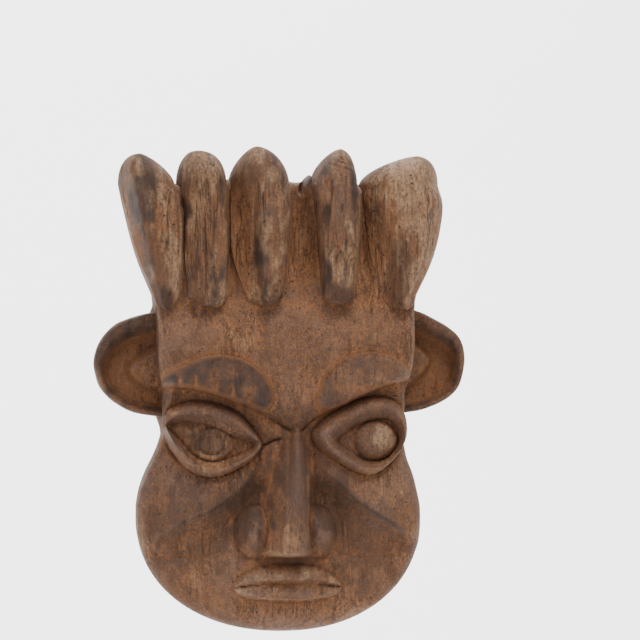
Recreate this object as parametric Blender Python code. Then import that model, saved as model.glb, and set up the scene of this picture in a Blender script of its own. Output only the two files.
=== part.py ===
"""A carved wooden wall mask: a hollowed face block, five pegged crown lobes, two tenoned ears and a hanging ring.

Metres, +Z up. The mask faces -Y and its flat back lies in the plane Y = 0. The origin is on that back, on the
centre line, level with the feet of the crown lobes. "Stand" below is how far a surface stands out from the back.
"""

import math

import bmesh
import bpy
import numpy as np

# Clearances
GAP = 0.0003                    # between wood pieces that touch, and around each peg
BAR_GAP = 0.0004                # around the ring's bar inside the strap's knuckle

# Face block: outline, seen from the front
FOREHEAD_WIDTH = 0.176
CROWN_FOOT_WIDTH = 0.182        # crown panel, level with the feet of the lobes
CROWN_TOP_WIDTH = 0.200
CROWN_HEIGHT = 0.080            # top of the crown panel above the origin
NOTCH_INSET = 0.005             # how far the outline draws in beside the eyes
NOTCH_DROP = 0.0925
CHEEK_WIDTH = 0.196
CHEEK_DROP = 0.147              # widest level of the cheeks, below the origin
CHIN_DROP = 0.226
JAW_POWER = 2.2                 # 2 is an ellipse, more is squarer
JAW_SHARE = 0.72                # share of the jaw's drop where the chin's arc takes over from the sides

# Face block: how far the front stands out
PANEL_STAND = 0.040
SHOULDER_TOP_DROP = 0.003       # the panel is flat down to here
SHOULDER_DROP = 0.0150          # and has become the forehead here
FOREHEAD_STAND = 0.064
FACE_STAND = 0.050
FACE_FALL = 0.010               # fall of the face from the centre line to the cheek's edge
EDGE_ROUND = 0.005

# Carved features, each side's own sizes; "out" is measured sideways from the centre line
BROW_HEIGHT = 0.008
BROW_ARCH_TOP = 0.037
BROW_FOOT_DROP = 0.0585
BROW_TIP_OUT = 0.081
BROW_INNER_OUT = 0.012
EYES = {
    -1: {"out": 0.0518, "drop": 0.0935, "half_long": 0.0335, "half_high": 0.0250, "tilt": 14.0,
         "open_out": 0.0520, "open_drop": 0.0968, "open_long": 0.0285, "open_high": 0.0140,
         "ball_long": 0.0145, "ball_high": 0.0105, "ball_rise": 0.004},
    1: {"out": 0.0535, "drop": 0.0925, "half_long": 0.0300, "half_high": 0.0260, "tilt": 9.0,
        "open_out": 0.0555, "open_drop": 0.0940, "open_long": 0.0225, "open_high": 0.0155,
        "ball_long": 0.0152, "ball_high": 0.0132, "ball_rise": 0.008},
}
LID_STAND = 0.061
EYE_FLOOR_STAND = 0.053
NOSE_TOP_DROP = 0.084
NOSE_TIP_DROP = 0.166
NOSE_TOP_STAND = 0.060
NOSE_TIP_STAND = 0.090
NOSE_TOP_HALF = 0.006
NOSE_TIP_HALF = 0.013
WING_OUT = 0.0195
WING_DROP = 0.158
WING_RADIUS = 0.0142
WING_STAND = 0.068
CREASE_START = (0.032, 0.122)   # out and drop of the cheek crease's inner end
CREASE_END = (0.086, 0.157)
CREASE_HEIGHT = 0.011
MOUTH_DROP = 0.190
MOUTH_HALF = 0.036
LIP_HEIGHT = 0.007
LIP_THICK = 0.0085
CHIN_KNOB_DROP = 0.213
CHIN_KNOB_HEIGHT = 0.007

# Hollow behind the face, for the wearer's own face
HOLLOW_WIDTH = 0.128
HOLLOW_TOP_DROP = 0.052
HOLLOW_BOTTOM_DROP = 0.202
HOLLOW_DEPTH = 0.038
HOLLOW_SIDES = 26

# Crown lobes. Sideways places are shares of the crown's half-width at their level, because the row fills the crown.
# "left" and "right" are the lobe's edges at LOBE_LEVELS; "apex" and "tip" are its highest and lowest points' places.
LOBE_LEVELS = (0.003, 0.030, 0.060, 0.078)
LOBES = (
    {"left": (-1.0089, -1.0741, -1.0995, -1.1249), "right": (-0.7992, -0.7470, -0.7103, -0.7372),
     "apex": -1.0012, "top": 0.0986, "tip": -0.8891, "foot": -0.0068},
    {"left": (-0.7242, -0.7393, -0.7029, -0.7299), "right": (-0.4345, -0.4064, -0.3874, -0.3841),
     "apex": -0.6007, "top": 0.1006, "tip": -0.5294, "foot": -0.0052},
    {"left": (-0.2997, -0.3871, -0.3800, -0.3768), "right": (-0.0220, 0.0252, 0.0424, 0.0419),
     "apex": -0.2002, "top": 0.1038, "tip": -0.1399, "foot": -0.0036},
    {"left": (0.2697, 0.2448, 0.2029, 0.1702), "right": (0.5115, 0.5419, 0.5322, 0.5097),
     "apex": 0.3604, "top": 0.1023, "tip": 0.3846, "foot": -0.003},
    {"left": (0.7192, 0.6058, 0.5396, 0.5197), "right": (1.0089, 1.0983, 1.1069, 1.0703),
     "apex": 0.8801, "top": 0.0976, "tip": 0.8941, "foot": -0.0068},
)
LOBE_RISE = 0.036               # how far a lobe stands out from the panel
LOBE_FOOT_RISE = 0.028
LOBE_SEAT_FOOT = -0.002         # below this the lobe's back lifts clear of the forehead's shoulder
LOBE_SEAT_LIFT = 1.7            # slope of that lift
LOBE_FRONT_POINTS = 13

# Pegs
LOBE_PEG_RADIUS = 0.0035
LOBE_PEG_LEVELS = (("lower", 0.020), ("upper", 0.058))
LOBE_PEG_BITE = 0.020           # length of peg inside its lobe
PEG_SET_IN = 0.0005             # the pegs' ends stay just inside the back
PEG_SIDES = 12

# Ears
EAR_LEVEL = -0.0435
EAR_HALF_HEIGHT = 0.035
EAR_REACH = 0.0395
EAR_BACK_STAND = 0.014
EAR_RIM_STAND = 0.034
EAR_BOWL_DEPTH = 0.009
EAR_RIM_WIDTH = 0.008
EAR_WEDGE_REACH = 0.016
EAR_WEDGE_HALF = 0.015
EAR_ROUNDNESS = 0.80           # 1 is an ellipse, less is fuller
TENON_LENGTH = 0.012
TENON_HALF_HEIGHT = 0.014
TENON_SHOULDER = 0.003          # wood in front of and behind the tenon, at the ear's root
EAR_PEG_RADIUS = 0.0025
EAR_PEG_SPREAD = 0.014
EAR_PEG_END = 0.006             # length of peg beyond the tenon

# Hanger, let into a recess in the back
RECESS_WIDTH = 0.026
RECESS_TOP_DROP = 0.006
RECESS_BOTTOM_DROP = 0.047
RECESS_DEPTH = 0.008
PIVOT_DROP = 0.024
STRAP_WIDTH = 0.010
STRAP_THICK = 0.0016
STRAP_LENGTH = 0.020            # below the pivot
WIRE_RADIUS = 0.00125
RING_HALF_WIDTH = 0.0085
RING_LENGTH = 0.0148            # pivot to the far side of the wire's centre line
SCREW_HEAD_RADIUS = 0.0030
SCREW_SHANK_RADIUS = 0.0014
SCREW_LENGTH = 0.016
SCREW_LEVELS = (("upper", 0.0075), ("lower", 0.0160))     # below the pivot
SCREW_SIDES = 12

# Mesh density of the carved front
COLUMNS = 44
ROWS_CROWN = 6
ROWS_FOREHEAD = 8
ROWS_FACE = 46
ROWS_JAW = 6
SOFTENING_PASSES = 2           # rounds the carving to what this mesh can carry
FOREHEAD_ROWS_TOP = 0.001
FACE_ROWS_TOP = -0.034
FACE_ROWS_BOTTOM = -0.178

WOOD_COLOUR = (0.205, 0.118, 0.072)
PEG_COLOUR = (0.290, 0.180, 0.105)
STEEL_COLOUR = (0.170, 0.130, 0.105)


def clear_scene():
    for thing in list(bpy.data.objects):
        bpy.data.objects.remove(thing, do_unlink=True)


def make_material(name, colour, roughness, metallic=0.0):
    material = bpy.data.materials.new(name)
    material.use_nodes = True
    shader = material.node_tree.nodes["Principled BSDF"]
    shader.inputs["Base Color"].default_value = (*colour, 1.0)
    shader.inputs["Roughness"].default_value = roughness
    shader.inputs["Metallic"].default_value = metallic
    return material


def finish_mesh(name, mesh_builder, material=None):
    """Turns a filled bmesh into a mesh with its material, smooth where it curves."""
    bmesh.ops.recalc_face_normals(mesh_builder, faces=mesh_builder.faces)
    mesh = bpy.data.meshes.new(name)
    mesh_builder.to_mesh(mesh)
    mesh_builder.free()
    mesh.shade_smooth()
    mesh.set_sharp_from_angle(angle=math.radians(35))
    if material:
        mesh.materials.append(material)
    return mesh


def place(name, mesh, location=(0.0, 0.0, 0.0)):
    thing = bpy.data.objects.new(name, mesh)
    thing.location = location
    bpy.context.scene.collection.objects.link(thing)
    return thing


def add_object(name, mesh_builder, material=None):
    return place(name, finish_mesh(name, mesh_builder, material))


def as_cutter(thing):
    thing.hide_render = True
    thing.display_type = "WIRE"
    return thing


def cut(thing, cutter):
    modifier = thing.modifiers.new(f"cut_{cutter.name}", "BOOLEAN")
    modifier.operation = "DIFFERENCE"
    modifier.solver = "EXACT"
    modifier.object = cutter


def smoothstep(low, high, value):
    share = np.clip((value - low) / (high - low), 0.0, 1.0)
    return share * share * (3.0 - 2.0 * share)


# Outline -----------------------------------------------------------------------------------------------------

def half_width(z):
    """Half the block's width at a level: straight runs joined by smooth steps, then one round jaw."""
    stations = (
        (CROWN_HEIGHT, CROWN_TOP_WIDTH / 2),
        (-0.002, CROWN_FOOT_WIDTH / 2),
        (-0.008, FOREHEAD_WIDTH / 2),
        (EAR_LEVEL - EAR_HALF_HEIGHT - 0.001, FOREHEAD_WIDTH / 2),
        (-NOTCH_DROP, FOREHEAD_WIDTH / 2 - NOTCH_INSET),
        (-CHEEK_DROP, CHEEK_WIDTH / 2),
    )
    width = np.full_like(z, stations[0][1])
    for (high, wide), (low, next_wide) in zip(stations, stations[1:]):
        width = width + (next_wide - wide) * smoothstep(high, low, z)
    down = np.clip((-CHEEK_DROP - z) / (CHIN_DROP - CHEEK_DROP), 0.0, 1.0)
    return width * (1.0 - down ** JAW_POWER) ** (1.0 / JAW_POWER)


def jaw_level(x):
    """Level of the jaw's outline under a point x."""
    out = np.clip(np.abs(x) / (CHEEK_WIDTH / 2), 0.0, 1.0)
    return -CHEEK_DROP - (CHIN_DROP - CHEEK_DROP) * (1.0 - out ** JAW_POWER) ** (1.0 / JAW_POWER)


def front_grid():
    """(x, z) of the front's grid points: level rows over the crown and face, rows that sag into the chin below."""
    corner = -CHEEK_DROP - JAW_SHARE * (CHIN_DROP - CHEEK_DROP)
    levels = np.concatenate([
        np.linspace(CROWN_HEIGHT, FOREHEAD_ROWS_TOP, ROWS_CROWN, endpoint=False),
        np.linspace(FOREHEAD_ROWS_TOP, FACE_ROWS_TOP, ROWS_FOREHEAD, endpoint=False),
        np.linspace(FACE_ROWS_TOP, FACE_ROWS_BOTTOM, ROWS_FACE, endpoint=False),
        np.linspace(FACE_ROWS_BOTTOM, corner, ROWS_JAW + 1),
    ])
    across = np.linspace(-1.0, 1.0, COLUMNS + 1)
    level, share = np.meshgrid(levels, across, indexing="ij")
    sag = smoothstep(-CHEEK_DROP, corner, level) ** 1.5
    corner_half = half_width(np.array([corner]))[0]
    x = share * half_width(level)
    z = level + (jaw_level(share * corner_half) - corner) * sag
    return x, z


# Carving -----------------------------------------------------------------------------------------------------

def brow_foot(out):
    """Level of the brow's lower edge, which falls towards the nose."""
    return -BROW_FOOT_DROP - 0.37 * np.maximum(0.064 - out, 0.0) + 0.25 * np.maximum(out - 0.064, 0.0)


def brow_rise(out, z):
    top = -BROW_ARCH_TOP - 13.0 * (out - 0.045) ** 2
    above = smoothstep(0.0, 0.005, top - z)
    below = smoothstep(-0.001, 0.003, z - brow_foot(out))
    inner = smoothstep(BROW_INNER_OUT, BROW_INNER_OUT + 0.008, out)
    tip = smoothstep(BROW_TIP_OUT, BROW_TIP_OUT - 0.006, out)
    return BROW_HEIGHT * above * below * inner * tip


def egg(out, z, eye, centre_out, centre_drop, half_long, half_high):
    """1 on the rim of a tilted egg whose narrow end points to the nose, less inside it."""
    tilt = math.radians(eye["tilt"])
    across, up = centre_out - out, z + centre_drop
    along = across * math.cos(tilt) - up * math.sin(tilt)
    over = across * math.sin(tilt) + up * math.cos(tilt)
    narrow = 1.0 - 0.28 * np.clip(along / half_long, -1.0, 1.0)
    return np.sqrt((along / half_long) ** 2 + (over / (half_high * narrow)) ** 2)


def carve_eye(stand, out, z, eye):
    rim = egg(out, z, eye, eye["out"], eye["drop"], eye["half_long"], eye["half_high"])
    opening = egg(out, z, eye, eye["open_out"], eye["open_drop"], eye["open_long"], eye["open_high"])
    ball = egg(out, z, eye, eye["open_out"], eye["open_drop"], eye["ball_long"], eye["ball_high"])
    across_lid = np.clip((opening - 1.0) / np.maximum((opening - 1.0) + (1.0 - rim), 1e-6), 0.0, 1.0)
    crest = np.sin(math.pi * across_lid) ** 0.7
    floor = np.where(opening < 1.0, EYE_FLOOR_STAND, EYE_FLOOR_STAND - 0.006 * across_lid)
    lid = floor + (LID_STAND - floor) * crest
    dome = eye["ball_rise"] * np.sqrt(np.clip(1.0 - ball ** 2, 0.0, 1.0))
    inside = np.where(opening < 1.0, EYE_FLOOR_STAND + dome, lid)
    groove = 0.004 * np.exp(-(((rim - 1.08) / 0.10) ** 2))
    return np.where(rim < 1.0, inside, stand - groove)


def cheek_rise(out, z):
    """A roof whose ridge is the crease: a slow slope up to the eye and a quick fall towards the mouth."""
    run, fall = CREASE_END[0] - CREASE_START[0], CREASE_END[1] - CREASE_START[1]
    length = math.hypot(run, fall)
    from_out, from_up = out - CREASE_START[0], z + CREASE_START[1]
    above = (from_out * fall + from_up * run) / length
    along = (from_out * run - from_up * fall) / length
    slope = np.where(above > 0.0, 1.0 - 0.8 * smoothstep(0.0, 0.045, above), smoothstep(-0.012, 0.0, above))
    return CREASE_HEIGHT * slope * smoothstep(-0.012, 0.014, along)


def nose_stand(out, z, base):
    down = smoothstep(-NOSE_TOP_DROP, -NOSE_TIP_DROP, z)
    crest = NOSE_TOP_STAND + (NOSE_TIP_STAND - NOSE_TOP_STAND) * down
    crest = base + (crest - base) * smoothstep(-NOSE_TIP_DROP - 0.008, -NOSE_TIP_DROP, z)
    crest = base + (crest - base) * smoothstep(-NOSE_TOP_DROP + 0.012, -NOSE_TOP_DROP - 0.004, z)
    half = NOSE_TOP_HALF + (NOSE_TIP_HALF - NOSE_TOP_HALF) * smoothstep(-NOSE_TOP_DROP, -0.144, z)
    section = np.clip(1.0 - (out / half) ** 3, 0.0, 1.0) ** (1 / 3)
    ridge = base + (crest - base) * section
    reach = np.hypot(out - WING_OUT, z + WING_DROP) / WING_RADIUS
    wing = base + (WING_STAND - base) * np.sqrt(np.clip(1.0 - reach ** 2, 0.0, 1.0))
    return np.maximum(ridge, wing)


def mouth_rise(out, z):
    muzzle = 0.006 * np.exp(-((out / 0.052) ** 2) - ((z + MOUTH_DROP) / 0.024) ** 2)
    corner = np.clip(1.0 - (out / MOUTH_HALF) ** 2, 0.0, 1.0)
    lips = np.zeros_like(z)
    for level in (-MOUTH_DROP + LIP_THICK * 0.62, -MOUTH_DROP - LIP_THICK * 0.62):
        across = (z - level) / (LIP_THICK * 0.6)
        lips = np.maximum(lips, np.clip(1.0 - across ** 2, 0.0, 1.0) ** 0.5 * corner ** 0.5)
    chin = CHIN_KNOB_HEIGHT * np.exp(-((out / 0.028) ** 2) - ((z + CHIN_KNOB_DROP) / 0.010) ** 2)
    return muzzle + LIP_HEIGHT * lips + chin


def carved_stand(x, z):
    """How far the carved front stands out at (x, z), before its edge is rounded."""
    out = np.abs(x)
    face = FACE_STAND - FACE_FALL * (out / (CHEEK_WIDTH / 2)) ** 2.2
    face = face + cheek_rise(out, z) + mouth_rise(out, z)
    face = np.maximum(face, nose_stand(out, z, face))
    forehead = FOREHEAD_STAND - 0.003 * (x / (FOREHEAD_WIDTH / 2)) ** 2 + brow_rise(out, z)
    over_brow = smoothstep(-0.004, 0.001, z - brow_foot(out))
    stand = face + (forehead - face) * over_brow
    for side, eye in EYES.items():
        stand = np.where(x * side > 0.0, carve_eye(stand, out, z, eye), stand)
    stand = np.maximum(stand, np.where(over_brow < 1.0, nose_stand(out, z, face), 0.0))
    shoulder = smoothstep(-SHOULDER_DROP, -SHOULDER_TOP_DROP, z)
    return stand + (PANEL_STAND - stand) * shoulder


def soften(carved, z):
    """Averages each point of the face with its neighbours. The panel and its shoulder stay exact for the lobes."""
    stand = carved.copy()
    for _ in range(SOFTENING_PASSES):
        around = stand[:-2, 1:-1] + stand[2:, 1:-1] + stand[1:-1, :-2] + stand[1:-1, 2:]
        stand[1:-1, 1:-1] = 0.5 * stand[1:-1, 1:-1] + 0.125 * around
    return np.where(z > -SHOULDER_DROP, carved, stand)


def edge_fall(x, z):
    """How much the rounded edge takes off the front near the outline."""
    sideways = np.maximum(half_width(z) - np.abs(x), 1e-9)
    downwards = np.maximum(z - jaw_level(x), 1e-9)
    upwards = np.maximum(CROWN_HEIGHT - z, 1e-9)
    inside = 1.0 / np.sqrt(sideways ** -2 + downwards ** -2 + upwards ** -2)
    soft = EDGE_ROUND * (1.0 + 1.6 * smoothstep(-NOTCH_DROP, -CHEEK_DROP, z))
    share = np.clip(inside / soft, 0.0, 1.0)
    return soft * (1.0 - np.sqrt(1.0 - (1.0 - share) ** 2))


def face_block_mesh():
    x, z = front_grid()
    stand = soften(carved_stand(x, z), z) - edge_fall(x, z)
    rows, columns = x.shape
    mesh = bmesh.new()
    front = [[mesh.verts.new((x[r, c], -stand[r, c], z[r, c])) for c in range(columns)] for r in range(rows)]
    for r in range(rows - 1):
        for c in range(columns - 1):
            mesh.faces.new((front[r][c], front[r][c + 1], front[r + 1][c + 1], front[r + 1][c]))
    border = front[0] + [row[-1] for row in front[1:]] + front[-1][-2::-1] + [row[0] for row in front[-2:0:-1]]
    back = [mesh.verts.new((v.co.x, 0.0, v.co.z)) for v in border]
    for i, vertex in enumerate(border):
        following = (i + 1) % len(border)
        mesh.faces.new((vertex, back[i], back[following], border[following]))
    mesh.faces.new(back)
    return mesh


# Cutters -----------------------------------------------------------------------------------------------------

def hollow_cutter():
    """A dished hollow: egg-shaped rings that draw in towards its floor."""
    half_height = (HOLLOW_BOTTOM_DROP - HOLLOW_TOP_DROP) / 2
    middle = -(HOLLOW_BOTTOM_DROP + HOLLOW_TOP_DROP) / 2
    mesh = bmesh.new()
    rings = []
    for depth_share in (-0.15, 0.25, 0.50, 0.72, 0.90, 1.0):
        reach = (1.0 - max(depth_share, 0.0) ** 2.6 * 0.86) ** (1 / 2.0)
        rings.append([
            mesh.verts.new((
                reach * HOLLOW_WIDTH / 2 * math.cos(a), -HOLLOW_DEPTH * depth_share,
                middle + reach * half_height * math.sin(a)))
            for a in (2 * math.pi * (i + 0.5) / HOLLOW_SIDES for i in range(HOLLOW_SIDES))
        ])
    for ring, following in zip(rings, rings[1:]):
        for i in range(HOLLOW_SIDES):
            j = (i + 1) % HOLLOW_SIDES
            mesh.faces.new((ring[i], ring[j], following[j], following[i]))
    mesh.faces.new(rings[0])
    mesh.faces.new(rings[-1])
    return as_cutter(add_object("hollow_cutter", mesh))


def add_box(mesh, low, high):
    made = bmesh.ops.create_cube(mesh, size=1.0)["verts"]
    for vertex in made:
        vertex.co = [a + (b - a) * (share + 0.5) for a, b, share in zip(low, high, vertex.co)]
    return made


def add_rod(mesh, stations, sides, centre_x=0.0, centre_z=0.0):
    """A turned rod along Y. stations is a list of (y, radius), from one end to the other."""
    rings = []
    for y, radius in stations:
        rings.append([
            mesh.verts.new((centre_x + radius * math.cos(a), y, centre_z + radius * math.sin(a)))
            for a in (2 * math.pi * (i + 0.5) / sides for i in range(sides))
        ])
    for ring, following in zip(rings, rings[1:]):
        for i in range(sides):
            j = (i + 1) % sides
            mesh.faces.new((ring[i], ring[j], following[j], following[i]))
    mesh.faces.new(rings[0])
    mesh.faces.new(rings[-1])


# Crown lobes -------------------------------------------------------------------------------------------------

def lobe_scales():
    """Half the crown's width at each of the lobes' levels."""
    return half_width(np.array(LOBE_LEVELS))


def lobe_edges(lobe, z):
    """The lobe's left and right edge at a level, in metres, its ends rounded off."""
    scales = lobe_scales()
    left = float(np.interp(z, LOBE_LEVELS, np.array(lobe["left"]) * scales))
    right = float(np.interp(z, LOBE_LEVELS, np.array(lobe["right"]) * scales))
    high, low = LOBE_LEVELS[-1], LOBE_LEVELS[0]
    if z > high:
        share, point = (z - high) / (lobe["top"] - high), lobe["apex"] * scales[-1]
    elif z < low:
        share, point = (low - z) / (low - lobe["foot"]), lobe["tip"] * scales[0]
    else:
        return left, right
    keep = max(1.0 - min(share, 1.0) ** 2.2, 0.0) ** (1 / 2.2)
    return point + (left - point) * keep, point + (right - point) * keep


def lobe_centre(lobe, z):
    left, right = lobe_edges(lobe, z)
    return (left + right) / 2


def lobe_levels(lobe):
    """Ring levels, closer together where the ends round off."""
    high, low = LOBE_LEVELS[-1], LOBE_LEVELS[0]
    foot = [low - (low - lobe["foot"]) * share for share in (0.94, 0.75, 0.40)]
    body = [low + (high - low) * i / 6 for i in range(7)]
    head = [high + (lobe["top"] - high) * share for share in (0.30, 0.55, 0.75, 0.90, 0.98)]
    return foot + body + head


def lobe_section(lobe, z):
    """(left, right, back stand, rise) of a lobe's section at a level."""
    left, right = lobe_edges(lobe, z)
    rise = LOBE_FOOT_RISE + (LOBE_RISE - LOBE_FOOT_RISE) * float(smoothstep(0.0, 0.055, z))
    over = max(z - LOBE_LEVELS[-1], 0.0) / (lobe["top"] - LOBE_LEVELS[-1])
    under = max(LOBE_SEAT_FOOT - z, 0.0)
    back = PANEL_STAND + GAP + 0.42 * LOBE_RISE * over ** 2.5 + LOBE_SEAT_LIFT * under
    front = PANEL_STAND + rise - 0.38 * LOBE_RISE * over ** 2.5 - 0.8 * under
    return left, right, back, front - back


def lobe_mesh(lobe):
    """Rings of a rounded D, flat side to the panel, closed by a point at each end."""
    mesh = bmesh.new()
    rings = []
    for z in lobe_levels(lobe):
        left, right, back, rise = lobe_section(lobe, z)
        centre, half = (left + right) / 2, (right - left) / 2
        ring = []
        for i in range(LOBE_FRONT_POINTS):
            angle = math.pi * i / (LOBE_FRONT_POINTS - 1)
            across = math.copysign(abs(math.cos(angle)) ** 0.62, math.cos(angle))
            ring.append(mesh.verts.new((centre - half * across, -back - rise * math.sin(angle) ** 0.72, z)))
        rings.append(ring)
    for ring, following in zip(rings, rings[1:]):
        for i in range(LOBE_FRONT_POINTS):
            j = (i + 1) % LOBE_FRONT_POINTS
            mesh.faces.new((ring[i], ring[j], following[j], following[i]))
    for z, ring in ((lobe["foot"], rings[0]), (lobe["top"], rings[-1])):
        _, _, back, rise = lobe_section(lobe, z)
        tip = mesh.verts.new((lobe_centre(lobe, z), -back - 0.5 * rise, z))
        for i in range(LOBE_FRONT_POINTS):
            mesh.faces.new((ring[i], ring[(i + 1) % LOBE_FRONT_POINTS], tip))
    return mesh


# Ears --------------------------------------------------------------------------------------------------------

def ear_stand(reach, up, share):
    """Stand of the ear's front. share is 0 at the middle of its root and 1 on its outline."""
    rim_share = 1.0 - EAR_RIM_WIDTH / EAR_REACH
    bowl = EAR_BOWL_DEPTH * smoothstep(rim_share + 0.06, rim_share - 0.12, share)
    wedge_share = reach / EAR_WEDGE_REACH + abs(up + 0.003) / EAR_WEDGE_HALF
    wedge = EAR_BOWL_DEPTH * 0.9 * smoothstep(1.15, 0.55, wedge_share)
    edge = 0.004 * smoothstep(0.88, 1.0, share)
    return EAR_RIM_STAND - bowl + wedge - edge


def ear_mesh(side):
    """A fan of rings from the middle of the ear's root out to its outline, with a flat back."""
    mesh = bmesh.new()
    root = side * (FOREHEAD_WIDTH / 2 + GAP)
    shares = (0.25, 0.45, 0.60, 0.72, 0.80, 0.86, 0.93, 1.0)
    spokes = 16
    angles = [math.pi * (i / spokes - 0.5) for i in range(spokes + 1)]

    def place(share, angle):
        reach = EAR_REACH * share * math.cos(angle) ** EAR_ROUNDNESS if abs(angle) < math.pi / 2 - 1e-6 else 0.0
        up = EAR_HALF_HEIGHT * share * math.copysign(abs(math.sin(angle)) ** 0.92, angle)
        return reach, up

    hub_stand = float(ear_stand(0.0, 0.0, 0.0))
    hub = mesh.verts.new((root, -hub_stand, EAR_LEVEL))
    fans = []
    for share in shares:
        fan = []
        for angle in angles:
            reach, up = place(share, angle)
            fan.append(mesh.verts.new((root + side * reach, -float(ear_stand(reach, up, share)), EAR_LEVEL + up)))
        fans.append(fan)
    for i in range(spokes):
        mesh.faces.new((hub, fans[0][i], fans[0][i + 1]))
    for fan, following in zip(fans, fans[1:]):
        for i in range(spokes):
            mesh.faces.new((fan[i], fan[i + 1], following[i + 1], following[i]))
    back = [mesh.verts.new((v.co.x, -EAR_BACK_STAND, v.co.z)) for v in fans[-1]]
    for i in range(spokes):
        mesh.faces.new((fans[-1][i], fans[-1][i + 1], back[i + 1], back[i]))
    mesh.faces.new(back)
    root_edge = [fan[0] for fan in reversed(fans)] + [hub] + [fan[-1] for fan in fans]
    mesh.faces.new(root_edge + [back[-1], back[0]])
    return mesh


def tenon_box(side, grow):
    """Low and high corners of an ear's tenon, or of its mortise when grown by the clearance."""
    root, middle = FOREHEAD_WIDTH / 2, (EAR_BACK_STAND + EAR_RIM_STAND - EAR_BOWL_DEPTH) / 2
    half_thick = (EAR_RIM_STAND - EAR_BOWL_DEPTH - EAR_BACK_STAND) / 2 - TENON_SHOULDER / 2
    inner, outer = root - TENON_LENGTH - 2 * grow, root + (0.004 if grow == 0.0 else 0.010)
    xs = sorted((side * inner, side * outer))
    low = (xs[0], -middle - half_thick - grow, EAR_LEVEL - TENON_HALF_HEIGHT - grow)
    high = (xs[1], -middle + half_thick + grow, EAR_LEVEL + TENON_HALF_HEIGHT + grow)
    return low, high


# Hanger ------------------------------------------------------------------------------------------------------

def pivot_stand():
    """Stand of the ring's bar: its knuckle lies just clear of the recess floor."""
    knuckle = WIRE_RADIUS + BAR_GAP + STRAP_THICK
    return RECESS_DEPTH - GAP - knuckle


def strap_mesh():
    """A bent strip: flat on the recess floor, then rolled most of the way round the ring's bar."""
    inner = WIRE_RADIUS + BAR_GAP
    outer = inner + STRAP_THICK
    steps = 14
    start, turn = -math.pi / 2, math.radians(290)
    angles = [start + turn * i / steps for i in range(steps + 1)]
    centre_y, centre_z = -pivot_stand(), -PIVOT_DROP
    profile = [(centre_y + outer * math.sin(a), centre_z + outer * math.cos(a)) for a in angles]
    profile += [(centre_y + inner * math.sin(a), centre_z + inner * math.cos(a)) for a in reversed(angles)]
    floor_y = centre_y - outer
    profile += [(floor_y + STRAP_THICK, centre_z - STRAP_LENGTH), (floor_y, centre_z - STRAP_LENGTH)]
    mesh = bmesh.new()
    sides = [
        [mesh.verts.new((x, y, z)) for y, z in profile]
        for x in (-STRAP_WIDTH / 2, STRAP_WIDTH / 2)
    ]
    left, right = sides
    for i in range(len(profile)):
        j = (i + 1) % len(profile)
        mesh.faces.new((left[i], left[j], right[j], right[i]))
    mesh.faces.new(left)
    mesh.faces.new(right)
    return mesh


def ring_curve(material):
    """The D-ring: a straight bar through the knuckle and a round bow that hangs below it."""
    bow = 14
    points = [(-RING_HALF_WIDTH * share, 0.0) for share in (-1.0, -0.6, 0.0, 0.6, 1.0)]
    drop = RING_LENGTH - RING_HALF_WIDTH
    points += [
        (-RING_HALF_WIDTH * math.cos(a), -drop - RING_HALF_WIDTH * math.sin(a))
        for a in (math.pi * i / bow for i in range(bow + 1))
    ]
    curve = bpy.data.curves.new("hanger_ring", "CURVE")
    curve.dimensions = "3D"
    curve.bevel_depth = WIRE_RADIUS
    curve.bevel_resolution = 1
    spline = curve.splines.new("POLY")
    spline.points.add(len(points) - 1)
    for point, (x, z) in zip(spline.points, points):
        point.co = (x, 0.0, z, 1.0)
    spline.use_cyclic_u = True
    curve.materials.append(material)
    ring = bpy.data.objects.new("hanger_ring", curve)
    ring.location = (0.0, -pivot_stand(), -PIVOT_DROP)
    bpy.context.scene.collection.objects.link(ring)
    return ring


def screw_stations(grow):
    """A flat-headed screw, flush with the strap, or its hole when grown by the clearance."""
    face = -(RECESS_DEPTH - GAP) + STRAP_THICK
    head_depth = SCREW_HEAD_RADIUS - SCREW_SHANK_RADIUS
    top = face - 0.0001 if grow == 0.0 else face + 0.004
    stations = [
        (top, SCREW_HEAD_RADIUS + grow),
        (face - 0.0002, SCREW_HEAD_RADIUS + grow),
        (face - 0.0002 - head_depth, SCREW_SHANK_RADIUS + grow),
        (face - SCREW_LENGTH - 2 * grow, SCREW_SHANK_RADIUS + grow),
    ]
    return stations


# Assembly ----------------------------------------------------------------------------------------------------

def lobe_peg_places():
    for number, lobe in enumerate(LOBES, 1):
        for label, level in LOBE_PEG_LEVELS:
            yield f"lobe_peg_{number}_{label}", lobe_centre(lobe, level), level


def ear_peg_places():
    out = FOREHEAD_WIDTH / 2 - TENON_LENGTH / 2
    for side, word in ((-1, "left"), (1, "right")):
        for label, up in (("upper", EAR_PEG_SPREAD / 2), ("lower", -EAR_PEG_SPREAD / 2)):
            yield f"ear_peg_{word}_{label}", side * out, EAR_LEVEL + up


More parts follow.
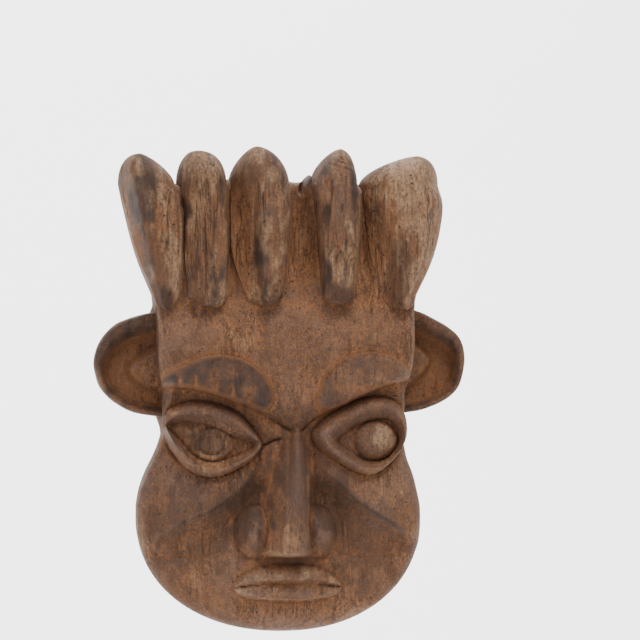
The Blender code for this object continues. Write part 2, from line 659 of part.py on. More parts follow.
def build():
    clear_scene()
    wood = make_material("carved_wood", WOOD_COLOUR, 0.75)
    peg_wood = make_material("peg_wood", PEG_COLOUR, 0.80)
    steel = make_material("hanger_steel", STEEL_COLOUR, 0.55, 0.85)

    lobe_peg_depth = PANEL_STAND + GAP + LOBE_PEG_BITE
    ear_peg_depth = -tenon_box(1, 0.0)[0][1] + EAR_PEG_END

    lobe_holes = bmesh.new()
    for _, x, z in lobe_peg_places():
        radius = LOBE_PEG_RADIUS + GAP
        add_rod(lobe_holes, [(0.010, radius), (-lobe_peg_depth - GAP, radius)], PEG_SIDES, x, z)
    lobe_holes = as_cutter(add_object("lobe_peg_holes", lobe_holes))

    ear_holes = bmesh.new()
    for _, x, z in ear_peg_places():
        radius = EAR_PEG_RADIUS + GAP
        add_rod(ear_holes, [(0.010, radius), (-ear_peg_depth - GAP, radius)], PEG_SIDES, x, z)
    ear_holes = as_cutter(add_object("ear_peg_holes", ear_holes))

    mortises = bmesh.new()
    for side in (-1, 1):
        add_box(mortises, *tenon_box(side, GAP))
    mortises = as_cutter(add_object("ear_mortises", mortises))

    recess = bmesh.new()
    half_recess = RECESS_WIDTH / 2
    add_box(recess, (-half_recess, -RECESS_DEPTH, -RECESS_BOTTOM_DROP), (half_recess, 0.01, -RECESS_TOP_DROP))
    recess = as_cutter(add_object("hanger_recess", recess))

    screw_holes = bmesh.new()
    for _, drop in SCREW_LEVELS:
        add_rod(screw_holes, screw_stations(GAP), SCREW_SIDES, 0.0, -PIVOT_DROP - drop)
    screw_holes = as_cutter(add_object("screw_holes", screw_holes))

    block = add_object("face_block", face_block_mesh(), wood)
    for cutter in (hollow_cutter(), recess, mortises, lobe_holes, ear_holes, screw_holes):
        cut(block, cutter)

    for number, lobe in enumerate(LOBES, 1):
        cut(add_object(f"crown_lobe_{number}", lobe_mesh(lobe), wood), lobe_holes)

    for side, word in ((-1, "left"), (1, "right")):
        ear = add_object(f"ear_{word}", ear_mesh(side), wood)
        tenon = bmesh.new()
        add_box(tenon, *tenon_box(side, 0.0))
        tenon = as_cutter(add_object(f"tenon_{word}", tenon))
        join = ear.modifiers.new("tenon", "BOOLEAN")
        join.operation = "UNION"
        join.solver = "EXACT"
        join.object = tenon
        cut(ear, ear_holes)

    peg_kinds = (
        ("lobe_peg", lobe_peg_places(), LOBE_PEG_RADIUS, lobe_peg_depth),
        ("ear_peg", ear_peg_places(), EAR_PEG_RADIUS, ear_peg_depth),
    )
    for kind, places, radius, depth in peg_kinds:
        rod = bmesh.new()
        add_rod(rod, [(0.0, radius), (PEG_SET_IN - depth, radius)], PEG_SIDES)
        peg_mesh = finish_mesh(kind, rod, peg_wood)
        for name, x, z in places:
            place(name, peg_mesh, (x, -PEG_SET_IN, z))

    strap = add_object("hanger_strap", strap_mesh(), steel)
    cut(strap, screw_holes)
    ring_curve(steel)
    rod = bmesh.new()
    add_rod(rod, screw_stations(0.0), SCREW_SIDES)
    screw_mesh = finish_mesh("hanger_screw", rod, steel)
    for label, drop in SCREW_LEVELS:
        place(f"hanger_screw_{label}", screw_mesh, (0.0, 0.0, -PIVOT_DROP - drop))


build()
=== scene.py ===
import math
from functools import partial

import bmesh
import bpy
import numpy as np
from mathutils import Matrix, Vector


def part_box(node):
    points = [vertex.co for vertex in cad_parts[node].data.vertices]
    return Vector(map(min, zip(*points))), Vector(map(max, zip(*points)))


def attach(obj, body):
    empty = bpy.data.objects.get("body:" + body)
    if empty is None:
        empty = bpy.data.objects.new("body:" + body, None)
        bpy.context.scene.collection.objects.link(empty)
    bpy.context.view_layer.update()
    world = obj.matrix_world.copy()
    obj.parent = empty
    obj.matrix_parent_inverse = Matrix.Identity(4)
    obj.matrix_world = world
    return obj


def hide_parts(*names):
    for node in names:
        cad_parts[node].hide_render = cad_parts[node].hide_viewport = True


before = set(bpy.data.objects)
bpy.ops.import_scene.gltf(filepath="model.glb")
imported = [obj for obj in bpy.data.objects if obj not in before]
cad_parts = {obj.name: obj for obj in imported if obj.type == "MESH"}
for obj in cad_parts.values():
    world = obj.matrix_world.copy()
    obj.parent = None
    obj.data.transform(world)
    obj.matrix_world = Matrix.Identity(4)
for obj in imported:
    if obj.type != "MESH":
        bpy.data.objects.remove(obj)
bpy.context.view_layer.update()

# sizes in the dictionaries are millimetres, "stand" is how far a surface stands out from the mask's flat back
mm = 0.001
rootBody = "mask"


# small maths shared by all the carving

def ramp(low, high, value):
    share = np.clip((value - low) / (high - low), 0.0, 1.0)
    return share * share * (3.0 - 2.0 * share)


def softMax(a, b, blend):
    return 0.5 * (a + b + np.sqrt((a - b) ** 2 + blend * blend))


def softMin(a, b, blend):
    return 0.5 * (a + b - np.sqrt((a - b) ** 2 + blend * blend))


def quarterRound(share):
    # 1 at the edge, falling to 0 along a quarter of a circle
    return 1.0 - np.sqrt(1.0 - (1.0 - np.clip(share, 0.0, 1.0)) ** 2)


def curveThrough(points, closed=False, steps=8):
    # Catmull-Rom through given points
    pts = np.array(points, dtype=float)
    if closed:
        pts = np.vstack([pts[-1], pts, pts[0], pts[1]])
    else:
        pts = np.vstack([2 * pts[0] - pts[1], pts, 2 * pts[-1] - pts[-2]])
    out = []
    for i in range(1, len(pts) - 2):
        for t in np.linspace(0.0, 1.0, steps, endpoint=False):
            p0, p1, p2, p3 = pts[i - 1:i + 3]
            out.append(0.5 * (2 * p1 + (p2 - p0) * t + (2 * p0 - 5 * p1 + 4 * p2 - p3) * t * t
                              + (3 * p1 - p0 - 3 * p2 + p3) * t ** 3))
    if not closed:
        out.append(pts[-2])
    return np.array(out)


def lineField(x, z, line, closed=False):
    # distance to a polyline, share along it, and which side (positive to the left of its run)
    ends = np.roll(line, -1, axis=0) if closed else line[1:]
    starts = line if closed else line[:-1]
    lengths = np.hypot(*(ends - starts).T)
    total, run = lengths.sum(), 0.0
    best = np.full(x.shape, 1e9)
    along = np.zeros(x.shape)
    side = np.zeros(x.shape)
    for (ax, az), (bx, bz), length in zip(starts, ends, lengths):
        dx, dz = bx - ax, bz - az
        t = np.clip(((x - ax) * dx + (z - az) * dz) / max(length * length, 1e-9), 0.0, 1.0)
        gap = np.hypot(x - ax - t * dx, z - az - t * dz)
        near = gap < best
        best = np.where(near, gap, best)
        along = np.where(near, (run + t * length) / total, along)
        side = np.where(near, np.sign(dx * (z - az) - dz * (x - ax)), side)
        run += length
    return best, along, side


def insideField(x, z, loop):
    # signed distance to a closed loop, positive inside
    gap, _, _ = lineField(x, z, loop, closed=True)
    inside = np.zeros(x.shape, dtype=bool)
    for (ax, az), (bx, bz) in zip(loop, np.roll(loop, -1, axis=0)):
        crosses = (az > z) != (bz > z)
        span = bz - az if abs(bz - az) > 1e-9 else 1e-9
        inside ^= crosses & (x < (bx - ax) * (z - az) / span + ax)
    return np.where(inside, gap, -gap)


def cloud(x, z, size, seed, octaves=3):
    # smooth value noise between -1 and 1; size is the width and height of its largest lumps
    total, weight = np.zeros(np.shape(x)), 0.0
    for octave in range(octaves):
        table = np.random.default_rng(seed + octave).uniform(-1.0, 1.0, (64, 64))
        u, v = x / size[0] * 2 ** octave, z / size[1] * 2 ** octave
        i, j = np.floor(u).astype(int), np.floor(v).astype(int)
        fu, fv = u - i, v - j
        fu, fv = fu * fu * (3 - 2 * fu), fv * fv * (3 - 2 * fv)
        a, b = table[i % 64, j % 64], table[(i + 1) % 64, j % 64]
        c, d = table[i % 64, (j + 1) % 64], table[(i + 1) % 64, (j + 1) % 64]
        total += ((a * (1 - fu) + b * fu) * (1 - fv) + (c * (1 - fu) + d * fu) * fv) / 2 ** octave
        weight += 1 / 2 ** octave
    return total / weight


def cuts(x, z, size, seed):
    # shallow knife scoops: 0 in the middle of a cut, about 1 on the ridges between cuts
    rng = np.random.default_rng(seed)
    jitter = rng.uniform(0.15, 0.85, (64, 64, 2))
    u, v = x / size[0], z / size[1]
    i, j = np.floor(u).astype(int), np.floor(v).astype(int)
    best = np.full(np.shape(x), 9.0)
    for di in (-1, 0, 1):
        for dj in (-1, 0, 1):
            spot = jitter[(i + di) % 64, (j + dj) % 64]
            best = np.minimum(best, (i + di + spot[..., 0] - u) ** 2 + (j + dj + spot[..., 1] - v) ** 2)
    return np.clip(best * 1.6, 0.0, 1.0)


# the face block's outline and relief

faceBlock = {
    "leftEdge": [(82, -97), (60, -96), (30, -91), (5, -88.8), (-6, -87.5), (-18, -86.6), (-40, -86.3), (-54, -84.5),
                 (-63, -82.4), (-76, -82.6), (-90, -82.2), (-98, -84), (-108, -88), (-119, -93.4), (-130, -97.3),
                 (-140, -99.2), (-148, -99.5)],
    "rightEdge": [(82, 97), (60, 97), (30, 92), (5, 89.8), (-6, 88.6), (-18, 87.8), (-40, 87.4), (-54, 85.6),
                  (-63, 82.6), (-76, 82.2), (-90, 82.6), (-98, 84), (-108, 86.6), (-119, 90.8), (-130, 93.6),
                  (-140, 95.5), (-148, 95.8)],
    "cheekLevel": -148, "chinLevel": -225.5, "jawPower": 2.15, "cornerShare": 0.70,
    "panelStand": 40, "foreheadStand": 64.5, "coveReach": 8.0, "coveRise": 6.0, "pinch": 4.6, "swell": 3.4,
    "valleyFill": [(-100, 4), (-80, 10), (-71, 15), (-60, 11), (-40, 5), (-30, 2), (13, 2), (30, 4), (54, 5), (80, 3)],
    "topWave": [(-100, -3), (-72, -2), (-60, 1), (-38, 2), (-30, 3), (0, 1.2), (9, 0.2), (13.5, 0.6), (16, 3.2),
                (18.5, 5.6), (21, 2.2), (26, 0.5), (44, -1), (53, -3.2), (62, -1), (100, -3)],
    "topLevel": 80, "columns": 226, "sideRings": 12, "backRings": 26, "backMiddle": (0.0, -70.0),
    "rowBands": [(80, 6, 44), (6, -34, 38), (-34, -128, 128), (-128, -178, 44)], "jawRows": 34,
}

browLine = [(-96, -61.5), (-82, -59.5), (-73, -59), (-64, -60.2), (-48, -64.2), (-32, -69.8), (-20, -75), (-9, -80.5),
            (1, -86), (7.5, -89.5), (13, -86.5), (20, -80.5), (28, -76), (38.5, -71.8), (52.5, -65.3), (68, -58.6),
            (78, -56), (88, -54), (98, -53)]
leftBrow = [(-86, -56.5), (-81, -49.5), (-75, -46), (-66, -42), (-55, -38), (-43, -37), (-30, -40), (-19, -47.5),
            (-11, -58), (-9, -68), (-15, -75), (-24, -72), (-32, -69), (-48, -63.8), (-64, -59.8), (-76, -58.8)]
rightBrow = [(22, -60), (26, -50), (33, -42.5), (43, -37.5), (57, -35), (68, -37), (79, -42), (85.5, -49),
             (82, -54), (69, -57.6), (52.5, -64.2), (38.5, -70.8), (27, -74.5), (20, -70)]
browShape = {"lifts": (8.8, 8.0), "edge": 5.5, "easing": 8.5, "easingReach": 11.0}
cheeks = {"creaseStand": 60.3, "upperSlope": 0.13, "lowerSlope": 1.05, "sideDrop": 17.0, "sideReach": (52, 101),
          "jawStand": 46.0, "innerStand": 51.0, "socketStand": 55.0}
eyeShared = {"footStand": 55.5, "lidDrop": 1.2, "groove": 1.6, "grooveReach": 3.2, "lipHalf": 0.7}
leftEye = {
    "outer": [(-82.8, -81), (-78.8, -74), (-70.2, -70), (-61, -68.4), (-49, -69.8), (-33.5, -75.4), (-23, -86.4),
              (-16.3, -98), (-22.5, -108), (-37.4, -117.2), (-51.8, -120.2), (-65, -115), (-74.8, -104.6),
              (-81.3, -91.5)],
    "opening": [(-81, -84.4), (-72.7, -82.6), (-63.5, -82.2), (-47.8, -86.3), (-33.4, -92.6), (-21.4, -97),
                (-28.1, -102.8), (-38.6, -107.4), (-50.4, -109.4), (-60.9, -105.9), (-68.8, -98), (-75.3, -90.9)],
    "ball": (-50.4, -97.8), "ballHalf": (15.0, 11.0), "ballRise": 2.3, "lidStand": 66.0, "floorStand": 57.2,
}
rightEye = {
    "outer": [(18.3, -90.9), (24.2, -83.1), (34.7, -75.3), (50.4, -67.6), (65.2, -65.6), (76, -69.8), (83.0, -79.6),
              (84.2, -89.3), (79.9, -100.8), (69.4, -113), (57, -118.9), (43.9, -115), (29.4, -106), (20.9, -98)],
    "opening": [(35.3, -95), (42.6, -88.3), (50.4, -83.7), (62.2, -80.3), (71.9, -81.4), (77, -88.3), (75.6, -99.3),
                (68.1, -107.6), (57, -109.1), (45.8, -104), (38.6, -98.9)],
    "ball": (61.6, -95.2), "ballHalf": (14.6, 13.2), "ballRise": 8.0, "lidStand": 66.6, "floorStand": 56.4,
}
nose = {
    "levels": [-84, -93, -106, -119, -132, -145, -158, -172], "crest": [59.5, 66, 72.5, 78.5, 84, 87.8, 89.6, 89.2],
    "middle": [7.6, 7.2, 6.8, 6.0, 5.0, 3.8, 3.2, 2.8], "half": [2.0, 2.6, 3.2, 3.8, 4.4, 5.2, 6.0, 6.4],
    "leftFlank": [3.6, 4.8, 7.0, 8.6, 9.8, 10.8, 11.2, 11.2], "rightFlank": [3.0, 3.6, 4.6, 5.6, 6.4, 7.2, 7.6, 7.6],
    "bottom": -174,
}
# each nostril's wing: middle, half width and height, stand of its top
wings = [(-20.0, -157.5, 13.5, 18.0, 66.5), (21.6, -157.5, 13.5, 18.0, 67.0)]
leftCrease = [(-17, -101), (-22.9, -117), (-33.4, -128), (-50.4, -141), (-60.9, -145.5), (-68.8, -148.8),
              (-84.5, -158), (-104, -168)]
rightCrease = [(19, -102), (28.5, -116.5), (37.4, -124), (47.9, -134.5), (58.4, -141.6), (70.2, -148.8), (82, -156),
               (100, -167)]
mouth = {"middle": 2, "level": -191.5, "half": 37, "lip": 6.2, "rise": 9.0, "muzzleStand": 55,
         "chin": (1, -214, 27, 8.0, 5.5)}
notches = {"spots": [(-73, -54.6, 1), (-62.4, -55.4, 1), (-49.3, -57, 1), (-37.5, -60.8, 1), (-26, -64.8, 1),
                     (41, -63.5, 0.3), (51, -59.5, 0.4), (61.5, -55.5, 0.4), (71.5, -52, 0.3)],
           "length": 9.6, "width": 1.6, "depth": 2.6, "cleanHalf": (1.7, 5.4)}
cracks = [
    {"path": [(-16.5, -98.6), (-12, -97.5), (-7, -95), (-1, -94)], "width": 0.9, "depth": 2.2},
    {"path": [(-13, -97.8), (-16, -102), (-17.3, -107), (-15.8, -110.5)], "width": 0.6, "depth": 1.3},
    {"path": [(-58, -41), (-52, -46), (-50, -52)], "width": 0.4, "depth": 0.4},
    {"path": [(-5, -12), (-6.5, -22), (-5.6, -31)], "width": 0.35, "depth": 0.4},
    {"path": [(31, -18), (29.6, -28), (30.4, -36)], "width": 0.35, "depth": 0.4},
    {"path": [(11.5, 73), (13.5, 79), (16.8, 84), (19.0, 89)], "width": 1.0, "depth": 10.0},
]


# crown lobes: each is a loft of D-shaped sections with its own cross profile

lobeShared = {"levels": (3, 30, 60, 78), "seat": 40.3, "rise": 36.8, "footRise": 31.5, "seatFoot": -2.0,
              "frontPoints": 86, "backPoints": 9, "rings": 120}
lobes = [
    {"left": (-89.8, -100.8, -108.8, -112.6), "right": (-72.6, -70.5, -70.4, -73.8), "apex": -99, "top": 98.6,
     "tip": -80.5, "foot": -6.8, "headLeft": (2.4, 2.3), "headRight": (1.6, 1.05), "round": (58, 90), "blunt": 0.22,
     "profile": [(-1, 0), (-0.97, 0.22), (-0.58, 0.93), (-0.48, 1.0), (0.1, 0.99), (0.7, 0.90), (0.93, 0.76), (1, 0)]},
    {"left": (-67.5, -69.8, -69.7, -73.2), "right": (-39.6, -38.2, -38.2, -38.6), "apex": -60, "top": 100.8,
     "tip": -48, "foot": -5.2, "headLeft": (1.9, 2.2), "headRight": (2.0, 2.2), "round": (38, 70), "blunt": 0.40,
     "checks": [{"across": -55.6, "lean": 0.03, "level": 30, "width": 1.2, "depth": 0.9, "foot": (2, 10),
                 "head": (66, 52), "uneven": 0.0}],
     "profile": [(-1, 0), (-0.98, 0.42), (-0.70, 0.66), (-0.30, 0.95), (-0.18, 1.0), (-0.10, 0.955), (0.45, 0.97),
                 (0.80, 0.90), (0.95, 0.62), (1, 0)]},
    {"left": (-27.5, -36.5, -37.6, -37.8), "right": (-2.0, 2.2, 4.4, 4.4), "apex": -20, "top": 103.8,
     "tip": -13, "foot": -3.8, "headLeft": (1.7, 1.15), "headRight": (1.8, 1.6), "round": (52, 88), "blunt": 0.25,
     "checks": [{"across": -16.5, "lean": 0.02, "level": 60, "width": 0.9, "depth": 2.6, "foot": (42, 50),
                 "head": (76, 68), "uneven": 0.3}],
     "profile": [(-1, 0), (-0.98, 0.20), (-0.50, 0.40), (-0.22, 0.62), (-0.12, 0.88), (0.0, 0.98), (0.3, 1.0),
                 (0.7, 0.95), (0.9, 0.82), (0.98, 0.48), (1, 0)]},
    {"left": (24.0, 22.6, 20.6, 18.0), "right": (46.8, 50.8, 52.4, 50.6), "apex": 37, "top": 102.2,
     "tip": 35, "foot": -3.4, "headLeft": (1.7, 1.15), "headRight": (1.9, 1.8), "round": (60, 92), "blunt": 0.25,
     "splits": [(92.5, -0.25, 7), (89.0, -0.30, 9), (95.0, -0.45, 4)],
     "profile": [(-1, 0), (-0.98, 0.40), (-0.86, 0.86), (-0.62, 0.96), (0.0, 1.0), (0.52, 0.97), (0.66, 0.93),
                 (0.93, 0.66), (0.98, 0.46), (1, 0)]},
    {"left": (66.0, 57.5, 53.6, 52.0), "right": (89.2, 102.6, 109.0, 106.6), "apex": 89, "top": 97.6,
     "tip": 82, "foot": -6.8, "headLeft": (1.7, 1.15), "headRight": (2.1, 2.1), "round": (8, 96), "blunt": 0.18,
     "profile": [(-1, 0), (-0.97, 0.14), (-0.66, 0.40), (-0.34, 0.72), (-0.06, 0.93), (0.14, 1.0), (0.5, 0.90),
                 (0.84, 0.64), (0.96, 0.40), (1, 0)]},
]


def lobeEdges(lobe, z):
    low, high = lobeShared["levels"][0], lobeShared["levels"][-1]
    held = np.clip(z, low, high)
    dense = [curveThrough(list(zip(lobeShared["levels"], lobe[key])), steps=8) for key in ("left", "right")]
    left, right = (np.interp(held, line[:, 0], line[:, 1]) for line in dense)
    up = np.clip((z - high) / (lobe["top"] - high), 0.0, 1.0)
    down = np.clip((low - z) / (low - lobe["foot"]), 0.0, 1.0)
    blunt = lobe["blunt"]
    cap = blunt * (1 - up ** 2.6) ** (1 / 2.6)
    keepLeft = cap + (1 - blunt) * (1 - up ** lobe["headLeft"][0]) ** (1 / lobe["headLeft"][1])
    keepRight = cap + (1 - blunt) * (1 - up ** lobe["headRight"][0]) ** (1 / lobe["headRight"][1])
    keepFoot = (1 - down ** 1.75) ** (1 / 1.75)
    point = np.where(z > high, lobe["apex"], lobe["tip"])
    left = point + (left - point) * np.where(z > high, keepLeft, keepFoot)
    right = point + (right - point) * np.where(z > high, keepRight, keepFoot)
    return left, right


def edgeAt(levels, side):
    dense = curveThrough(sorted(faceBlock[side]), steps=10)
    return np.interp(levels, dense[:, 0], dense[:, 1])


def jawShare(down):
    return np.maximum(1.0 - np.clip(down, 0.0, 1.0) ** faceBlock["jawPower"], 0.0) ** (1 / faceBlock["jawPower"])


def outlineAt(levels):
    down = (faceBlock["cheekLevel"] - levels) / (faceBlock["cheekLevel"] - faceBlock["chinLevel"])
    return edgeAt(levels, "leftEdge") * jawShare(down), edgeAt(levels, "rightEdge") * jawShare(down)


def jawLevel(x):
    reach = x / np.where(x < 0, faceBlock["leftEdge"][-1][1], faceBlock["rightEdge"][-1][1])
    return faceBlock["cheekLevel"] - (faceBlock["cheekLevel"] - faceBlock["chinLevel"]) * jawShare(reach)


def topRise(x):
    return np.interp(x, *zip(*faceBlock["topWave"]))


def frontGrid():
    block = faceBlock
    corner = block["cheekLevel"] - block["cornerShare"] * (block["cheekLevel"] - block["chinLevel"])
    bands = [np.linspace(high, low, count, endpoint=False) for high, low, count in block["rowBands"]]
    levels = np.concatenate(bands + [np.linspace(block["rowBands"][-1][1], corner, block["jawRows"])])
    share = np.linspace(0.0, 1.0, block["columns"])
    level, across = np.meshgrid(levels, share, indexing="ij")
    left, right = outlineAt(levels)
    cornerLeft, cornerRight = outlineAt(np.array([corner]))
    x = left[:, None] + (right - left)[:, None] * across
    under = cornerLeft[0] + (cornerRight[0] - cornerLeft[0]) * across
    sag = ramp(-150.0, corner, level) ** 1.4
    return x, level + (jawLevel(under) - corner) * sag + topRise(x) * ramp(52.0, 80.0, level)


def lidAndEye(stand, x, z, eye):
    outer = insideField(x, z, curveThrough(eye["outer"], closed=True, steps=6))
    opening = insideField(x, z, curveThrough(eye["opening"], closed=True, steps=6))
    across = np.clip(outer / np.maximum(outer - opening, 1e-6), 0.0, 1.0)
    roll = np.sin(math.pi * across ** 0.85) ** 0.80
    foot = np.minimum(stand, eyeShared["footStand"])
    lid = foot + (eye["lidStand"] - foot) * roll + (eye["floorStand"] + 2.0 - foot) * ramp(0.75, 1.0, across) * 0.6
    lid = lid - eyeShared["lidDrop"] * ramp(-90, -112, z)
    u, v = (x - eye["ball"][0]) / eye["ballHalf"][0], (z - eye["ball"][1]) / eye["ballHalf"][1]
    reach = np.hypot(u, v)
    if eye["ballRise"] > 5:
        dome = eye["ballRise"] * np.sqrt(np.clip(1.0 - reach ** 2.3, 0.0, 1.0))
    else:
        dome = eye["ballRise"] * ramp(1.08, 0.86, reach) - 1.5 * np.exp(-((reach - 0.62) / 0.085) ** 2)
        dome = dome + 0.35 * ramp(0.6, 0.2, reach)
    floor = eye["floorStand"] - 0.9 * np.exp(-(opening / 1.8) ** 2) + dome + 0.8 * ramp(2.0, 9.0, opening)
    inside = np.where(opening > 0, floor, lid)
    # the opening's lip is a steep little wall, so blend a little way to each side
    lip = eyeShared["lipHalf"]
    inside = np.where(np.abs(opening) < lip, floor + (lid - floor) * ramp(lip, -lip, opening), inside)
    groove = eyeShared["groove"] * np.exp(-(outer / eyeShared["grooveReach"]) ** 2)
    return np.where(outer > 0, inside, stand - groove * ramp(-9.0, 0.0, outer)), outer


def noseStand(x, z, base):
    order = np.argsort(nose["levels"])
    levels = np.array(nose["levels"], dtype=float)[order]

    def along(key):
        dense = curveThrough(np.column_stack([levels, np.array(nose[key], dtype=float)[order]]), steps=8)
        return np.interp(z, dense[:, 0], dense[:, 1])

    crest, middle, half = along("crest"), along("middle"), along("half")
    flank = np.where(x < middle, along("leftFlank"), along("rightFlank"))
    crest = crest - 2.6 * np.clip(np.abs(x - middle) / half, 0, 1.6) ** 2.2
    off = (np.abs(x - middle) - half) / flank
    off = np.clip(off, 0.0, 3.0)
    ridge = crest - (crest - base) * off * off / (off + 0.45)
    ridge = np.where(z < nose["bottom"] + 6, ridge - (ridge - base) * ramp(nose["bottom"] + 4, nose["bottom"] - 1.5, z),
                     ridge)
    ridge = ridge - 30.0 * ramp(-90, -80, z)
    stand = softMax(base, softMin(ridge, crest, 2.2), 2.4)
    for wx, wz, rx, rz, top in wings:
        reach = np.sqrt(((x - wx) / rx) ** 2 + ((z - wz) / rz) ** 2)
        mound = base + (top - base) * np.clip(1.0 - reach ** 2.0, 0.0, 1.0) ** 0.85
        stand = np.where(reach < 1.0, softMax(stand, mound, 3.0 * np.clip(1.0 - reach, 0, 1)), stand)
    return stand


def mouthStand(x, z, base):
    out = np.abs(x - mouth["middle"]) / mouth["half"]
    corner = np.sqrt(np.clip(1.0 - out ** 2.2, 0.0, 1.0))
    muzzle = mouth["muzzleStand"] - 9.0 * (np.abs(x - mouth["middle"]) / 56) ** 2 - 0.010 * (z + 186) ** 2
    stand = softMax(base, muzzle, 3.0)
    bow = mouth["level"] - 3.0 * out ** 2
    for way in (1, -1):
        across = (z - bow - way * mouth["lip"] * 0.96 * corner) / (mouth["lip"] * np.maximum(corner, 0.05))
        roll = np.sqrt(np.clip(1.0 - across ** 2, 0.0, 1.0)) * corner ** 0.6
        stand = np.where(out < 1.0, np.maximum(stand, stand + (mouth["rise"] - (1 - way) * 0.4) * roll), stand)
    chinX, chinZ, halfX, halfZ, rise = mouth["chin"]
    return stand + rise * np.exp(-((x - chinX) / halfX) ** 2 - ((z - chinZ) / halfZ) ** 2)


def creaseSide(x, z, path):
    gap, _, side = lineField(x, z, curveThrough(path, steps=5))
    return gap * side


def crownStand(stand, x, z):
    # the forehead sweeps back to the crown panel, with a cove where each lobe's flank meets it
    stand = stand + (faceBlock["panelStand"] - stand) * ramp(-24.0, 40.0, z) ** 0.85
    cove = np.zeros(x.shape)
    for lobe in lobes:
        levels = np.linspace(lobe["foot"], lobe["top"], 40)
        left, right = lobeEdges(lobe, levels)
        loop = np.vstack([np.column_stack([left, levels]), np.column_stack([right, levels])[::-1]])
        outside = np.minimum(insideField(x, z, loop), 0.0)
        cove = np.maximum(cove, np.clip(1 + outside / faceBlock["coveReach"], 0, 1) ** 2)
    fill = np.interp(x, *zip(*faceBlock["valleyFill"])) * ramp(-12.0, 6.0, z) * (1 - 0.5 * ramp(55, 84, z))
    return stand + (faceBlock["coveRise"] * cove * ramp(-4.0, 6.0, z) + fill) * ramp(66.0, 40.0, stand)


def faceStand(x, z):
    # lower face: two planes that meet in a crease on each cheek
    out = np.abs(x)
    sideDrop = cheeks["sideDrop"] * ramp(*cheeks["sideReach"], out) ** 1.25
    above = np.where(x < 0, -creaseSide(x, z, leftCrease), creaseSide(x, z, rightCrease))
    upper = cheeks["creaseStand"] - cheeks["upperSlope"] * above - sideDrop - 2.4 * ramp(24, 52, above)
    lower = cheeks["creaseStand"] + cheeks["lowerSlope"] * above - sideDrop
    lower = softMax(lower, cheeks["jawStand"] - 5.0 * ramp(40, 96, out) - 1.0 * ramp(-170, -215, z), 5.0)
    face = softMin(upper, lower, 0.7)
    innerDip = cheeks["innerStand"] + 3.0 * ramp(-96, -84, z)
    near = ramp(34, 14, np.abs(x - 3)) * ramp(-128, -108, z)
    face = face + (innerDip - face) * near
    face = mouthStand(x, z, face)
    socket = cheeks["socketStand"] + 1.0 * ramp(22, 8, np.abs(x - 8)) * ramp(-92, -82, z)
    face = face + (socket - face) * ramp(-100, -82, z)
    # forehead slab with raised brows
    brow = np.zeros(x.shape)
    for loop, lift in zip((leftBrow, rightBrow), browShape["lifts"]):
        depth = insideField(x, z, curveThrough(loop, closed=True, steps=6))
        rise = np.sin(0.5 * math.pi * np.clip((depth + 0.5) / browShape["edge"], 0.0, 1.0)) ** 0.8
        brow = np.where(depth > -6, np.maximum(brow, lift * rise - 1.3 * np.exp(-((depth + 1.2) / 1.8) ** 2)), brow)
    forehead = faceBlock["foreheadStand"] + 1.6 * (1 - (x / 86) ** 2) - 1.2 * ramp(-30, -14, z)
    forehead = forehead - 5.5 * ramp(-58, -88, z) * np.exp(-((x - 6) / 20) ** 2)
    forehead = forehead + brow * (1 - 0.55 * ramp(70, 88, out)) - 3.5 * ramp(72, 88, out) * ramp(-28, -48, z)
    gap, _, side = lineField(x, z, curveThrough(browLine, steps=5))
    over = gap * side
    easing = browShape["easing"] * quarterRound(over / browShape["easingReach"])
    stand = face + (forehead - easing - face) * ramp(-3.0, 0.6, over)
    for eye in (leftEye, rightEye):
        carved, outer = lidAndEye(stand, x, z, eye)
        keep = ramp(-2.2, 0.4, over) * ramp(1.5, -0.5, outer)
        stand = carved + (stand - carved) * keep
    stand = np.maximum(stand, noseStand(x, z, np.minimum(stand, 58.5)))
    return crownStand(stand, x, z)


def notchReach(x, z, halfWidth, halfLength):
    return ((x + 0.10 * z) / halfWidth) ** 2 + (z / halfLength) ** 4


def frontDetail(x, z, stand):
    onFace = ramp(2.0, -10.0, z)
    stand = stand + onFace * (1.0 * cuts(x, z, (11, 17), 5) - 0.5) + onFace * 0.85 * cloud(x, z, (34, 46), 11, 2)
    stand = stand + 0.26 * cloud(x, z, (3.2, 10), 23, 2) + 0.55 * (1 - onFace) * cloud(x, z, (6, 22), 29, 2)
    for spotX, spotZ, strength in notches["spots"]:
        reach = notchReach(x - spotX, z - spotZ, notches["width"], notches["length"] / 2)
        stand = stand - notches["depth"] * strength * np.exp(-reach * 0.9)
    for crack in cracks:
        gap, along, _ = lineField(x, z, curveThrough(crack["path"], steps=5))
        fade = np.sqrt(np.clip(1.0 - (2 * along - 1) ** 4, 0.0, 1.0)) + 0.15
        stand = stand - crack["depth"] * fade * np.exp(-(gap / crack["width"]) ** 2)
    return stand


def edgeRound(x, z, left, right):
    sideways = np.maximum(np.minimum(x - left, right - x), 1e-6)
    downwards = np.maximum(z - jawLevel(x), 1e-6)
    upwards = np.maximum(faceBlock["topLevel"] + topRise(x) - z, 1e-6)
    inside = 1.0 / np.sqrt(sideways ** -2.0 + downwards ** -2.0 + upwards ** -2.0)
    soft = 3.2 + 7.5 * ramp(-88, -112, z) + 3.0 * ramp(-4, 6, z) + 4.5 * np.exp(-((z + 56) / 13) ** 2)
    return soft * quarterRound(inside / soft)


def place(name, data):
    item = bpy.data.objects.new(name, data)
    bpy.context.scene.collection.objects.link(item)
    return item


def meshFrom(name, points, faces):
    mesh = bpy.data.meshes.new(name)
    mesh.from_pydata([tuple(p) for p in np.asarray(points) * mm], [], [tuple(f) for f in faces])
    mesh.update()
    return place(name, mesh)


def builtPiece(name, builder):
    mesh = bpy.data.meshes.new(name)
    builder.to_mesh(mesh)
    builder.free()
    return place(name, mesh)


